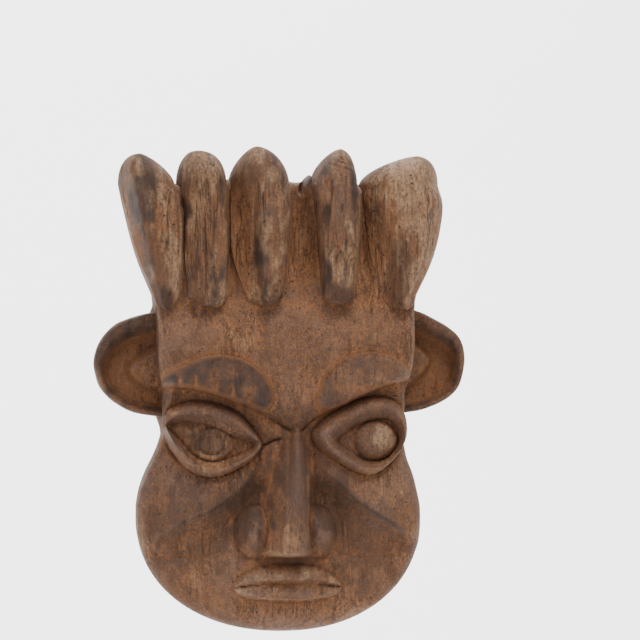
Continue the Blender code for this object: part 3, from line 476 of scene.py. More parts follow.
def turnOutwards(piece):
    builder = bmesh.new()
    builder.from_mesh(piece.data)
    bmesh.ops.recalc_face_normals(builder, faces=builder.faces)
    builder.to_mesh(piece.data)
    builder.free()


def gridFaces(rows, columns, start=0, wrap=False):
    index = start + np.arange(rows * columns).reshape(rows, columns)
    if wrap:
        index = np.hstack([index, index[:, :1]])
    a, b, c, d = index[:-1, :-1], index[:-1, 1:], index[1:, 1:], index[1:, :-1]
    return np.stack([a, b, c, d], axis=-1).reshape(-1, 4)


def makeCutter(name, makeIt):
    builder = bmesh.new()
    makeIt(builder)
    bmesh.ops.recalc_face_normals(builder, faces=builder.faces)
    return builtPiece(name, builder)


def subtract(piece, cutters):
    for cutter in cutters:
        modifier = piece.modifiers.new("cut", "BOOLEAN")
        modifier.operation = "DIFFERENCE"
        modifier.solver = "EXACT"
        modifier.object = cutter
    graph = bpy.context.evaluated_depsgraph_get()
    result = bpy.data.meshes.new_from_object(piece.evaluated_get(graph))
    piece.modifiers.clear()
    old = piece.data
    piece.data = result
    bpy.data.meshes.remove(old)
    for cutter in cutters:
        bpy.data.objects.remove(cutter, do_unlink=True)


def makeFaceBlock():
    block = faceBlock
    x, z = frontGrid()
    rows, columns = x.shape
    left, right = x[:, :1], x[:, -1:]
    stand = frontDetail(x, z, faceStand(x, z)) - edgeRound(x, z, left, right)
    points = np.stack([x, -stand, z], axis=-1)
    index = np.arange(rows * columns).reshape(rows, columns)
    border = np.concatenate([index[0], index[1:, -1], index[-1, -2::-1], index[-2:0:-1, 0]])
    ring = points.reshape(-1, 3)[border]
    rings = []
    count = block["sideRings"]
    midX, midZ = block["backMiddle"]
    run = np.arange(len(ring)) * 0.9
    for i in range(1, count + 1):
        share = (i / count) ** 0.9
        y = ring[:, 1] * (1.0 - share)
        tuck = 1.0 - 0.020 * share - 0.012 * ramp(0.86, 1.0, share)
        px, pz = ring[:, 0] * tuck, midZ + (ring[:, 2] - midZ) * (1 - (1 - tuck) * 0.8)
        # the sides pinch in behind the forehead's edge and swell again behind the ears, round their pegs
        earBand = ramp(-2.0, -12.0, pz) * ramp(-92.0, -76.0, pz) * ramp(60.0, 78.0, np.abs(px))
        pinch = block["pinch"] * ramp(38.0, 45.0, -y) * ramp(0.02, 0.2, share) - block["swell"] * ramp(24.0, 14.0, -y)
        px = px - np.sign(px) * pinch * earBand
        pz = pz - topRise(px) * ramp(70.0, 76.0, ring[:, 2]) * ramp(0.0, 0.35, share)
        wobble = 0.45 * cloud(run, y, (16, 14), 31, 2) * math.sin(math.pi * min(share, 0.95))
        rings.append(np.column_stack([px + wobble * np.sign(px), y, pz]))
    allPoints = np.vstack([points.reshape(-1, 3)] + rings)
    faces = [tuple(f) for f in gridFaces(rows, columns)]
    previous, size = border, len(border)
    for i in range(count):
        following = rows * columns + i * size + np.arange(size)
        for k in range(size):
            j = (k + 1) % size
            faces.append((previous[k], following[k], following[j], previous[j]))
        previous = following
    # the flat back: a quarter as many points, in rings that shrink to the middle, with shallow adze marks
    rim = allPoints[previous][::4]
    start, count = len(allPoints), len(rim)
    layers = []
    for share in np.linspace(0.985, 0.03, block["backRings"]):
        px, pz = midX + (rim[:, 0] - midX) * share, midZ + (rim[:, 2] - midZ) * share
        layers.append(np.column_stack([px, -0.45 * (1 - cuts(px, pz, (17, 26), 47)) * ramp(0.99, 0.95, share), pz]))
    allPoints = np.vstack([allPoints] + layers + [[(midX, -0.2, midZ)]])
    for k in range(count):
        j = (k + 1) % count
        outer = [previous[(4 * k + i) % size] for i in range(5)]
        faces.append(tuple(outer + [start + j, start + k]))
        faces.append((start + (block["backRings"] - 1) * count + k, start + (block["backRings"] - 1) * count + j,
                      len(allPoints) - 1))
    faces += [tuple(f) for f in gridFaces(block["backRings"], count, start, wrap=True)]
    piece = meshFrom("carvedFaceBlock", allPoints, faces)
    turnOutwards(piece)
    return piece


# crown lobes: lofts of D-shaped sections

def lobeSplits(lobe, x, z):
    # long checks that follow the grain, then short splits across the head
    loss = np.zeros(x.shape)
    for check in lobe.get("checks", []):
        gap = (x - check["across"] + check["lean"] * (z - check["level"])) / check["width"]
        uneven = 1 - check["uneven"] + check["uneven"] * cloud(z, x, (5, 9), 7, 1)
        loss = loss + check["depth"] * np.exp(-gap ** 2) * ramp(*check["foot"], z) * ramp(*check["head"], z) * uneven
    for level, tilt, reach in lobe.get("splits", []):
        gap = (z - level - tilt * (x - lobe["apex"])) / 0.55
        loss = loss + 1.1 * np.exp(-gap ** 2) * np.exp(-((x - lobe["apex"] - 2) / reach) ** 4)
    return loss


def makeLobe(number, lobe):
    shared = lobeShared
    turn = (np.arange(shared["rings"]) + 0.35) / (shared["rings"] - 0.3)
    share = 0.35 * turn + 0.65 * (0.5 - 0.5 * np.cos(math.pi * turn))
    z = lobe["foot"] + (lobe["top"] - lobe["foot"]) * share
    left, right = lobeEdges(lobe, z)
    u = np.linspace(-1, 1, shared["frontPoints"])
    u = np.sign(u) * (1 - (1 - np.abs(u)) ** 1.35)
    knots = np.array(lobe["profile"], dtype=float)
    fine = np.linspace(-1.08, 1.08, 433)
    smooth = np.convolve(np.interp(fine, knots[:, 0], knots[:, 1], 0, 0), np.hanning(15) / np.hanning(15).sum(), "same")
    profile = np.interp(u, fine, smooth)
    profile[0] = profile[-1] = 0.0
    over = np.clip((z - 76.0) / (lobe["top"] - 76.0), 0.0, 1.0)
    under = np.maximum(shared["seatFoot"] - z, 0.0)
    footRound = 1.0 - 0.17 * np.clip((5.0 - z) / (5.0 - lobe["foot"]), 0.0, 1.0) ** 2.2
    rise = (shared["footRise"] + (shared["rise"] - shared["footRise"]) * ramp(0, 45, z)) * footRound
    seat = shared["seat"] + 15.0 * over ** 2.4 + 1.9 * under
    front = shared["seat"] + rise * (1.0 - 0.40 * over ** 2.3)
    # the sections grow rounder towards the head
    roundness = np.clip(1 - np.abs(u) ** 2.3, 0, 1) ** 0.46
    blend = (0.92 * ramp(*lobe["round"], z))[:, None]
    shape = profile[None, :] * (1 - blend) + roundness[None, :] * blend
    x = (left + right)[:, None] / 2 + (right - left)[:, None] / 2 * u[None, :]
    zz = np.repeat(z[:, None], len(u), axis=1)
    # each flank starts level with the block it grows from, with a short wall down to the seat
    grown = crownStand(np.full(x.shape, 64.6), x, zz) + 0.3
    start = seat[:, None] + np.maximum(grown - seat[:, None], 0.0) * ramp(81.0, 68.0, zz)
    start = np.minimum(start, front[:, None] - 2.0)
    wall = ramp(0.0, 0.035, 1 - np.abs(u))[None, :]
    stand = seat[:, None] + (start + (front[:, None] - start) * shape ** 1.6 - seat[:, None]) * wall
    body = ramp(0.02, 0.35, shape) * (1 - 0.5 * over[:, None])
    seed = 100 + number * 17
    stand = stand + body * (1.1 * cloud(x, zz, (11, 30), seed, 2) + 1.15 * cuts(x, zz, (8.5, 21), seed + 3) - 0.6)
    stand = stand + body * 0.30 * cloud(x, zz, (1.9, 15), seed + 5, 2)
    stand = stand - lobeSplits(lobe, x, zz)
    backU = np.linspace(1, -1, shared["backPoints"] + 2)[1:-1]
    backX = (left + right)[:, None] / 2 + (right - left)[:, None] / 2 * backU[None, :]
    hump = (1 - backU ** 2)[None, :] * (3.5 * over)[:, None]
    back = seat[:, None] - hump
    ringX = np.hstack([x, backX])
    ringStand = np.hstack([stand, back])
    ringZ = np.hstack([zz, np.repeat(z[:, None], shared["backPoints"], axis=1)])
    points = np.stack([ringX, -ringStand, ringZ], axis=-1).reshape(-1, 3)
    width = ringX.shape[1]
    faces = [tuple(f) for f in gridFaces(shared["rings"], width, wrap=True)]
    tips = []
    for row, level, place in ((0, lobe["foot"], lobe["tip"]), (shared["rings"] - 1, lobe["top"], lobe["apex"])):
        middle = (ringStand[row].max() + ringStand[row].min()) / 2
        tips.append((place, -middle, level))
        tip = len(points) + len(tips) - 1
        for i in range(width):
            j = (i + 1) % width
            a, b = row * width + i, row * width + j
            faces.append((a, tip, b) if row == 0 else (a, b, tip))
    piece = meshFrom(f"carvedLobe{number}", np.vstack([points, tips]), faces)
    turnOutwards(piece)
    return piece


# ears: a fan of points from the root out to the rim

ears = {
    "left": {
        "side": -1, "root": -79, "rim": (11.0, 5.0),
        "outline": [(-79, -6.8), (-84.5, -7.6), (-89.5, -8.6), (-96.4, -10.2), (-104.3, -12.6), (-112.9, -16.4),
                    (-120.2, -23.1), (-125.4, -31.6), (-127.9, -41), (-127.3, -48.6), (-124.2, -58.6),
                    (-117.4, -66.8), (-110, -72.1), (-102.6, -75.8), (-94.7, -77.8), (-84.5, -79.2), (-79, -79.8)],
        "wedge": [(-72, -24), (-84, -30), (-95, -37), (-103.5, -43), (-105.5, -48.5), (-101, -55), (-92, -60.5),
                  (-84, -62), (-72, -64)]},
    "right": {
        "side": 1, "root": 80, "rim": (9.5, 4.4),
        "outline": [(80, -5.2), (85.5, -5.6), (91.5, -6.8), (97.9, -9), (104.9, -12.6), (112.6, -16.8),
                    (120.1, -22.4), (124.2, -28), (126.2, -34.8), (126.6, -42), (125.2, -51), (122.2, -59.6),
                    (116.4, -66), (109.3, -70.4), (102.2, -73.4), (95.1, -75.6), (85.5, -77), (80, -77.6)],
        "wedge": [(72, -19), (84, -24.5), (93, -29.5), (100, -35), (104.5, -40.5), (102.5, -47), (96, -54),
                  (90, -59), (84, -61), (72, -64)]},
}
earShared = {"middle": -43, "backStand": 13, "rimStand": 35.5, "bowlStand": 21.5, "spokes": 118, "steps": 62,
             "edgeRings": 9, "backShares": (0.8, 0.5, 0.25)}


def earStand(x, z, ear):
    loop = np.array(ear["outline"] + [(ear["root"] - ear["side"] * 12, ear["outline"][-1][1]),
                                      (ear["root"] - ear["side"] * 12, ear["outline"][0][1])], dtype=float)
    smooth = curveThrough(ear["outline"], steps=5)
    gap, along, _ = lineField(x, z, smooth)
    depth = insideField(x, z, np.vstack([smooth, loop[-2:]]))
    depth = np.where(depth > 0, gap, 0.0)
    wide = ear["rim"][0] + (ear["rim"][1] - ear["rim"][0]) * ramp(0.25, 0.62, along)
    rim = earShared["rimStand"] - 1.6 * ramp(0.15, 0.75, along)
    fall = ramp(0.50, 1.9, depth / wide)
    bowl = earShared["bowlStand"] + 3.5 * ramp(16, 34, depth) + 2.0 * ramp(0.62, 0.85, along)
    stand = rim - 0.10 * depth + (bowl - rim) * fall
    stand = stand - 3.4 * quarterRound(depth / 3.0)
    wedge = insideField(x, z, curveThrough(ear["wedge"], closed=True, steps=5))
    bump = 30.5 - 0.12 * np.abs(x - ear["root"]) - 0.10 * np.maximum(-40 - z, 0)
    stand = stand + (np.maximum(bump, stand) - stand) * ramp(-1.6, 3.6, wedge)
    stand = stand + 0.7 * cloud(x, z, (13, 13), 61, 2) + 0.40 * cuts(x, z, (7, 8), 67) - 0.2
    return stand + 0.2 * cloud(x, z, (2.6, 7), 71, 2)


def makeEar(word, ear):
    shared, side = earShared, ear["side"]
    outline = curveThrough(ear["outline"], steps=16)
    hub = np.array([ear["root"], shared["middle"]])
    angles = np.arctan2(outline[:, 1] - hub[1], side * (outline[:, 0] - hub[0]))
    order = np.argsort(angles)
    spokes = np.linspace(angles.min(), angles.max(), shared["spokes"])
    radii = np.interp(spokes, angles[order], np.hypot(*(outline - hub).T)[order])
    share = np.linspace(0, 1, shared["steps"] + 1)[1:] ** 0.85
    radius, angle = np.meshgrid(share, spokes, indexing="ij")
    radius = radius * radii[None, :]
    x = hub[0] + side * radius * np.cos(angle)
    z = hub[1] + radius * np.sin(angle)
    stand = earStand(x, z, ear)
    hubStand = earStand(np.array([[hub[0]]]), np.array([[hub[1]]]), ear)[0, 0]
    layers = [np.stack([x, -stand, z], axis=-1).reshape(-1, 3)]
    rimX, rimZ, rimStand = x[-1], z[-1], stand[-1]
    edge = shared["edgeRings"]
    for i in range(1, edge + 1):
        share = i / edge
        tuck = 1.0 + 0.010 * math.sin(math.pi * share) - 0.05 * share ** 2
        level = rimStand + (shared["backStand"] - rimStand) * share
        wob = 0.3 * cloud(np.arange(len(rimX)) * 0.8, level, (9, 8), 83, 2)
        layers.append(np.column_stack([hub[0] + (rimX - hub[0]) * tuck + side * wob * math.sin(math.pi * share), -level,
                                       hub[1] + (rimZ - hub[1]) * tuck]))
    last = layers[-1]
    for share in shared["backShares"]:
        inner = last.copy()
        inner[:, 0] = hub[0] + (last[:, 0] - hub[0]) * share
        inner[:, 2] = hub[1] + (last[:, 2] - hub[1]) * share
        layers.append(inner)
    count, rows = shared["spokes"], shared["steps"] + edge + len(shared["backShares"])
    points = np.vstack(layers + [[(hub[0], -hubStand, hub[1])], [(hub[0], -shared["backStand"], hub[1])]])
    faces = [tuple(f) for f in gridFaces(rows, count)]
    front, back = len(points) - 2, len(points) - 1
    final = (rows - 1) * count
    for i in range(count - 1):
        faces.append((front, i + 1, i))
        faces.append((back, final + i, final + i + 1))
    left = [front] + [r * count for r in range(rows)] + [back]
    right = [front] + [r * count + count - 1 for r in range(rows)] + [back]
    faces.append(tuple(left + right[-2:0:-1]))
    piece = meshFrom(f"carvedEar{word.capitalize()}", points, faces)
    turnOutwards(piece)
    return piece


print("carving the face block")
block = makeFaceBlock()
print("block faces", len(block.data.polygons))
print("carving the lobes and ears")
lobePieces = [makeLobe(i, lobe) for i, lobe in enumerate(lobes, 1)]
earPieces = {word: makeEar(word, ear) for word, ear in ears.items()}


# the block's back: a gouged hollow, the hanger's recess and the holes for the pegs

backCuts = {"hollowMiddle": -127, "hollowHalf": (64, 75), "hollowDepth": 38, "gouge": 0.9,
            "recess": (13, -6, -47, 8), "cornerRadius": 3.0,
            "lobePeg": (3.8, (20, 58), 62), "earPeg": (2.8, 82, -43.5, 7, 30)}


def addRing(builder, points, previous=None):
    ring = [builder.verts.new(Vector(p) * mm) for p in points]
    if previous:
        for k in range(len(ring)):
            j = (k + 1) % len(ring)
            builder.faces.new((previous[k], previous[j], ring[j], ring[k]))
    return ring


def addRod(builder, x, z, radius, start, end, sides=28):
    rings = None
    for y in (start, end):
        points = [(x + radius * math.cos(a), y, z + radius * math.sin(a))
                  for a in np.linspace(0, 2 * math.pi, sides, endpoint=False)]
        ring = addRing(builder, points, rings)
        builder.faces.new(ring)
        rings = ring


def addHollow(builder):
    halfX, halfZ = backCuts["hollowHalf"]
    turns = np.linspace(0, 2 * math.pi, 120, endpoint=False)
    previous = None
    for share in np.concatenate([[-0.16], np.linspace(0.0, 0.985, 40)]):
        reach = math.sqrt(1 - 0.86 * max(share, 0.0) ** 2.6) + max(-share, 0.0) * 0.3
        x, z = halfX * reach * np.cos(turns), halfZ * reach * np.sin(turns)
        scoop = backCuts["gouge"] * (cuts(turns * 42, np.full(len(turns), share * 60), (13, 9), 41) - 0.4)
        scoop = scoop * ramp(0.03, 0.15, share)
        x, z = x * (1 + scoop / halfX), z * (1 + scoop / halfZ)
        y = -backCuts["hollowDepth"] * share
        ring = addRing(builder, [(a, y, b + backCuts["hollowMiddle"]) for a, b in zip(x, z)], previous)
        if previous is None:
            builder.faces.new(ring)
        previous = ring
    for shrink in np.linspace(0.93, 0.06, 22):
        x, z = halfX * reach * shrink * np.cos(turns), halfZ * reach * shrink * np.sin(turns)
        scoop = backCuts["gouge"] * (cuts(x, z, (11, 17), 43) - 0.4)
        y = -backCuts["hollowDepth"] * (0.985 + 0.07 * (1 - shrink ** 2)) - scoop
        previous = addRing(builder, [(a, b, c + backCuts["hollowMiddle"]) for a, b, c in zip(x, y, z)], previous)
    builder.faces.new(previous)


def addRecess(builder):
    half, top, bottom, depth = backCuts["recess"]
    radius, points = backCuts["cornerRadius"], []
    for cx, cz, start in ((half - radius, top - radius, 0), (-half + radius, top - radius, 90),
                          (-half + radius, bottom + radius, 180), (half - radius, bottom + radius, 270)):
        for angle in np.radians(np.linspace(start, start + 90, 7)):
            points.append((cx + radius * math.cos(angle), cz + radius * math.sin(angle)))
    outer = addRing(builder, [(x, 6.0, z) for x, z in points])
    builder.faces.new(outer)
    floor = addRing(builder, [(x, -depth, z) for x, z in points], outer)
    builder.faces.new(floor)


def cutBack(builder):
    addHollow(builder)
    addRecess(builder)
    radius, levels, depth = backCuts["lobePeg"]
    for i in range(1, 6):
        for label, level in zip(("lower", "upper"), levels):
            low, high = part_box(f"lobe_peg_{i}_{label}")
            addRod(builder, (low.x + high.x) / 2 / mm, level, radius, 6, -depth)
    radius, out, middle, spread, depth = backCuts["earPeg"]
    for side in (-1, 1):
        for way in (-1, 1):
            addRod(builder, side * out, middle + way * spread, radius, 6, -depth)


print("hollowing the back")
subtract(block, [makeCutter("backCutter", cutBack)])
block.data.shade_smooth()
block.data.set_sharp_from_angle(angle=math.radians(48))
print("block faces after the cut", len(block.data.polygons))

for piece in [block] + lobePieces + list(earPieces.values()):
    piece.data.shade_smooth()
    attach(piece, rootBody)
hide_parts("face_block")
for i, piece in enumerate(lobePieces, 1):
    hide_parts(f"crown_lobe_{i}")
for word, piece in earPieces.items():
    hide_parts(f"ear_{word}")


# masks that the wood's material reads, worked out from each piece's own hollows and edges

# smoothing passes for the hollow and ridge measures, which drive the dust, stains and wear and also the painted shade
# and painted highlights
dirtAndShade = {"finePasses": 5, "broadPasses": 90, "fineSize": 0.16, "broadSize": 1.5}


def meshArrays(mesh):
    count = len(mesh.vertices)
    spots, normals = np.empty(count * 3), np.empty(count * 3)
    mesh.vertices.foreach_get("co", spots)
    mesh.vertex_normals.foreach_get("vector", normals)
    ends = np.empty(len(mesh.edges) * 2, dtype=np.int64)
    mesh.edges.foreach_get("vertices", ends)
    return spots.reshape(-1, 3) / mm, normals.reshape(-1, 3), ends.reshape(-1, 2).T


def hollowness(mesh):
    # how far the surface sinks below its own smoothed shape, over a small and a large reach
    spots, normals, (a, b) = meshArrays(mesh)
    count = len(spots)
    share = 0.5 / np.maximum(np.bincount(a, minlength=count) + np.bincount(b, minlength=count), 1)
    smooth, levels = spots.copy(), []
    for step in range(dirtAndShade["broadPasses"]):
        total = np.stack([np.bincount(a, smooth[b, k], count) + np.bincount(b, smooth[a, k], count)
                          for k in range(3)], axis=1)
        smooth = 0.5 * smooth + share[:, None] * total
        if step + 1 in (dirtAndShade["finePasses"], dirtAndShade["broadPasses"]):
            levels.append(((smooth - spots) * normals).sum(axis=1))
    return spots, normals, levels[0] / dirtAndShade["fineSize"], levels[1] / dirtAndShade["broadSize"]


def spotMask(x, z, spots):
    # ragged patches: middle, half width and height, strength
    mask = np.zeros(x.shape)
    for middleX, middleZ, halfX, halfZ, strength in spots:
        reach = ((x - middleX) / halfX) ** 2 + ((z - middleZ) / halfZ) ** 2
        ragged = 0.55 * cloud(x + 50, z, (4.5, 8), 301, 3) * min(1.0, halfX / 3)
        mask = np.maximum(mask, strength * ramp(0.22, 0.72, np.exp(-reach) + ragged * (reach < 4)))
    return mask


def lineMask(x, z, lines):
    # soft lines: width, strength, path
    mask = np.zeros(x.shape)
    for width, strength, path in lines:
        gap, along, _ = lineField(x, z, curveThrough(path, steps=5))
        fade = np.clip(1.0 - (2 * along - 1) ** 6, 0.0, 1.0)
        mask = np.maximum(mask, strength * fade * np.exp(-(gap / width) ** 2))
    return mask


def paint(piece, spots, lines, extra):
    mesh = piece.data
    spot, normals, fine, broad = hollowness(mesh)
    x, y, z = spot.T
    front = ramp(0.15, -0.25, normals[:, 1])
    rough = cloud(x + y, z, (7, 9), 211, 3)
    wide = cloud(x, z - y, (30, 26), 223, 2)
    masks = {
        "dust": np.clip(0.62 * ramp(0.05, 1.5, broad) + 0.5 * ramp(0.1, 1.2, fine) + 0.30 * (rough - 0.15), 0, 1),
        "shade": np.clip(0.50 * ramp(0.9, 2.8, broad) + 0.55 * ramp(0.8, 2.8, fine), 0, 1),
        # pale on ridges and edges: partly real wear, partly painted highlight
        "worn": np.clip(0.42 * ramp(0.6, 2.4, -fine) * (0.45 + 1.4 * rough), 0, 1),
        "patina": np.clip(0.75 * ramp(0.2, 1.6, -broad) + 0.55 * (wide + 0.1), 0, 1),
        # dark: partly real stains, partly painted shade from some of the placed spots and lines
        "stain": np.clip(0.25 * ramp(0.2, 0.8, -wide), 0, 1),
    }
    for kind in masks:
        placed = np.maximum(spotMask(x, z, spots.get(kind, [])), lineMask(x, z, lines.get(kind, [])))
        mask = np.maximum(masks[kind], placed * front)
        if kind in extra:
            mask = extra[kind](mask, x, y, z, front)
        layer = mesh.attributes.new(kind, "FLOAT", "POINT")
        layer.data.foreach_set("value", np.clip(mask, 0, 1).astype(np.float32))


# the dark stain spots on the lower cheeks and just under the creases beside the nose are painted shade; the others are
# real stains
faceSpots = {"stain": [(6, -80, 16, 10, 0.5), (-58, -150, 44, 36, 0.62), (52, -165, 40, 30, 0.5),
                       (4, -112, 14, 34, 0.6), (-50, -97, 20, 12, 0.8), (-50, -90, 38, 22, 0.42),
                       (58, -90, 34, 22, 0.35), (-30, -138, 18, 26, 0.8), (32, -138, 18, 26, 0.7),
                       (5, -142, 12, 36, 0.5), (11, -118, 1.6, 16, 0.5), (-22, -150, 8, 8, 0.5),
                       (24, -150, 8, 8, 0.5), (8.5, -168, 3.5, 7, 0.5), (18, 84, 3.0, 4.5, 1.3)],
             "patina": [(-66, -125, 24, 26, 0.7), (-52, -72, 24, 5, 0.9), (60, -96, 12, 11, 0.8),
                        (20, -30, 26, 18, 0.35), (2, -62, 14, 12, 0.45), (-58, -130, 22, 12, 0.5),
                        (8, -135, 5, 30, 0.85), (-21, -152, 10, 12, 0.9), (23, -152, 10, 12, 0.9)],
             # the pale spots are partly wear and partly painted highlight, the one on the right eyeball a painted glint
             "worn": [(70, -125, 18, 24, 0.22), (80.5, -131, 1.2, 1.4, 1.5), (67, -93.5, 8.0, 9.5, 1.1)],
             "dust": [(-54, -144, 1.4, 1.8, 1.6), (0, -2, 90, 5, 0.5), (-55, -59.5, 34, 3.5, 0.9),
                      (55, -60, 30, 3.5, 0.9), (-20, 30, 200, 26, 0.30)]}
# the first two dark lines follow the cheek creases as painted shade under their edges
faceLines = {"stain": [(2.2, 1.0, [(-22, -117.5), (-33, -129), (-50, -142), (-68, -149.5), (-84, -158.5)]),
                       (2.0, 1.0, [(28, -117.5), (38, -125), (48, -135.5), (58.5, -142.8), (72, -151), (84, -159.5)]),
                       (0.8, 1.0, cracks[0]["path"]), (0.7, 0.8, cracks[1]["path"]),
                       (1.0, 0.6, [(9, -112), (10.5, -135), (9, -168)]), (1.4, 1.0, cracks[5]["path"])],
             "dust": [(3.0, 0.8, [(-84, -57), (-64, -61), (-45, -66), (-25, -76), (-8, -86)]),
                      (3.0, 0.8, [(12, -90), (24, -80), (40, -71), (62, -61), (84, -56)])],
             # the pale lines down both edges of the nose are painted highlights
             "worn": [(0.9, 0.35, [(1.5, -95), (-0.5, -125), (-2, -168)]),
                      (0.9, 0.6, [(15, -95), (15.2, -125), (12.5, -168)])]}
for x, z, deep in notches["spots"][:5]:
    faceLines["dust"].append((1.3, 1.2, [(x, z + 4.5), (x - 0.2, z), (x + 0.3, z - 4.5)]))
    faceLines["stain"].append((0.7, 0.8, [(x - 2.1, z + 4.6), (x - 2.2, z), (x - 1.4, z - 4.8)]))
# the dark stain spot low on each lobe, near its foot, is painted shade where the foot tucks under; the other dark spots
# are real stains
lobeSpots = [
    # pale spots on the lobes' lit edges, down the first lobe's left side, on the fourth lobe's right edge and over the
    # fifth lobe's top and right side, are partly wear and partly painted highlight
    {"stain": [(-99, 70, 9.5, 21, 1.0), (-91, 26, 8, 34, 0.5), (-88, -2, 10, 7, 0.6)],
     "worn": [(-106, 60, 4, 40, 0.7), (-86, 74, 5, 11, 0.8)],
     "patina": [(-101, 68, 12, 24, 0.55)],
     "dust": [(-90, 40, 8, 30, 0.4)]},
    {"worn": [(-60, 90, 14, 11, 0.55)],
     "stain": [(-52, 60, 5, 12, 0.4), (-50, -1, 9, 6, 0.45)],
     "dust": [(-50, 30, 9, 30, 0.45)]},
    {"stain": [(-8.1, 6, 1.7, 1.7, 1.4), (-14, 1, 10, 6, 0.6)],
     "dust": [(-31, 50, 5, 40, 0.8), (-8, 35, 6, 20, 0.4)],
     "worn": [(-5, 80, 6, 12, 0.4)],
     "patina": [(-12, 66, 8, 20, 0.6)]},
    {"patina": [(38, 60, 10, 24, 0.55)],
     "stain": [(36, 3, 11, 8, 0.75), (36, 62, 1.3, 3.4, 0.9)],
     "worn": [(47.5, 66, 2.0, 3.0, 1.1), (38, 84, 8, 10, 0.35)]},
    {"worn": [(88, 80, 30, 26, 0.9), (96, 45, 10, 34, 0.8), (82.5, 64, 1.6, 1.8, 1.3), (82, 56, 1.2, 2.6, 1.2),
              (81.5, 47, 1.3, 3.4, 1.1), (80.5, 40, 1.0, 2.2, 0.9)],
     "dust": [(97, 66, 6, 8, 1.0), (67, 52, 8, 34, 0.6)],
     "stain": [(78, 31, 6.5, 13, 0.6), (75, 12, 11, 18, 0.55)],
     "patina": [(84, 66, 12, 20, 0.5)]},
]
# the pale lines run down the lobes' lit edges as painted highlights
lobeLines = [
    {"stain": [(0.9, 0.8, [(-105.4, 84), (-100.5, 66), (-95.5, 31), (-89, -3)]),
               (0.8, 0.7, [(-97, 52), (-92, 36), (-88, 14), (-84, 2)])]},
    {"stain": [(1.1, 0.9, [(-57, 64), (-56, 36), (-55.5, 2)]), (0.7, 0.6, [(-58, 28), (-52, 12), (-49, 2)])]},
    {"stain": [(0.9, 1.0, [(-17.4, 74), (-16.8, 58), (-16.4, 42)]), (0.8, 0.5, [(-16.6, 42), (-15, 22), (-14, 6)])],
     "worn": [(1.0, 0.7, [(-23, 74), (-22.5, 40), (-20, 8)])]},
    # the fourth lobe's first dark line, down its left edge, is painted shade
    {"stain": [(0.9, 1.2, [(21.5, 68), (20.8, 60), (21.0, 51)]), (0.6, 0.8, [(31, 95), (38, 96.5), (45, 92)]),
               (0.6, 0.8, [(29, 91), (37, 92.5), (46, 87)]), (0.6, 0.7, [(40, 88), (38.5, 76), (38, 60)])],
     "worn": [(1.7, 0.95, [(48.5, 72), (47.5, 40), (45, 2)])]},
    {"stain": [(0.6, 0.6, [(90, 76), (100, 74), (104, 66), (98, 56), (90, 58), (89, 68)]),
               (0.6, 0.6, [(76, 40), (73, 32), (76, 24), (81, 26)])],
     "worn": [(1.6, 0.7, [(105, 60), (102, 36), (93, 6)])]},
]


def seatShade(mask, x, y, z, front):
    return 0.6 * mask


def seatDust(mask, x, y, z, front):
    return np.maximum(mask, 0.95 * ramp(-70.0, -57.0, y) * ramp(88.0, 60.0, z))


def lobeWorn(mask, x, y, z, front):
    return np.maximum(mask, 0.9 * front * ramp(0.02, 0.42, cloud(x + 9, z, (7, 17), 431, 3)) * ramp(-52, -66, y))


def lobeStain(mask, x, y, z, front):
    patches = ramp(-0.05, 0.5, cloud(x - 9, z, (6, 19), 441, 3)) * ramp(-52, -66, y)
    return np.maximum(mask, front * (0.22 + 0.78 * patches) * ramp(80, 52, x) * ramp(-52, -62, y))


def outlines(loop, x, z):
    return insideField(x, z, curveThrough(loop, closed=True, steps=5))


def carvedStain(mask, x, y, z, front):
    slots = np.zeros(x.shape)
    for spotX, spotZ, strength in notches["spots"]:
        reach = notchReach(x - spotX, z - spotZ, *notches["cleanHalf"])
        slots = np.maximum(slots, min(1.0, 1.6 * strength) * np.exp(-reach))
    uneven = 0.75 + 0.5 * cloud(x, z, (9, 13), 451, 3)
    for loop, strength in ((leftBrow, 1.15), (rightBrow, 0.72)):
        mask = np.maximum(mask, strength * uneven * ramp(0.5, 4.0, outlines(loop, x, z)))
    raw = (1 - front) * (0.12 + 0.34 * ramp(0.0, 0.8, cloud(x, z, (5, 38), 471, 4)))
    return np.maximum(mask * (1 - slots) * front, raw)


def carvedPatina(mask, x, y, z, front):
    for eye in (leftEye, rightEye):
        lid = ramp(0.5, 4.0, outlines(eye["outer"], x, z)) * ramp(1.0, -3.0, outlines(eye["opening"], x, z))
        mask = np.maximum(mask, 0.8 * lid * ramp(-112, -84, z))
    for loop in (leftBrow, rightBrow):
        mask = np.maximum(mask, 0.6 * ramp(0.0, 4.0, outlines(loop, x, z)))
    return np.maximum(mask * front * ramp(-0.8, -3.0, y), (0.6 + 0.6 * cloud(x, z, (14, 40), 461, 3)) * (1 - front))


def carvedDust(mask, x, y, z, front):
    for loop in (leftBrow, rightBrow, leftEye["outer"], rightEye["outer"]):
        mask = np.maximum(mask, 0.9 * front * np.exp(-((outlines(loop, x, z) + 0.8) / 1.5) ** 2))
    for eye in (leftEye, rightEye):
        mask = np.maximum(mask, 0.9 * front * np.exp(-((outlines(eye["opening"], x, z) - 0.8) / 1.2) ** 2))
    return mask * (0.45 + 0.55 * front)


def sideShade(mask, x, y, z, front):
    side = ramp(79.0, 82.0, np.abs(x)) * ramp(-60.0, -52.0, y) * ramp(-1.0, -8.0, z) * ramp(-86.0, -78.0, z)
    return np.maximum(mask, 0.75 * side)


def earDust(mask, x, y, z, front):
    return np.maximum(mask, ramp(-31.5, -24.0, y) * front * (0.8 + 0.3 * cloud(x, z, (6, 6), 401, 2)))


def earShade(mask, x, y, z, front):
    return np.maximum(mask, 0.35 * ramp(-30.5, -23.0, y) * front)


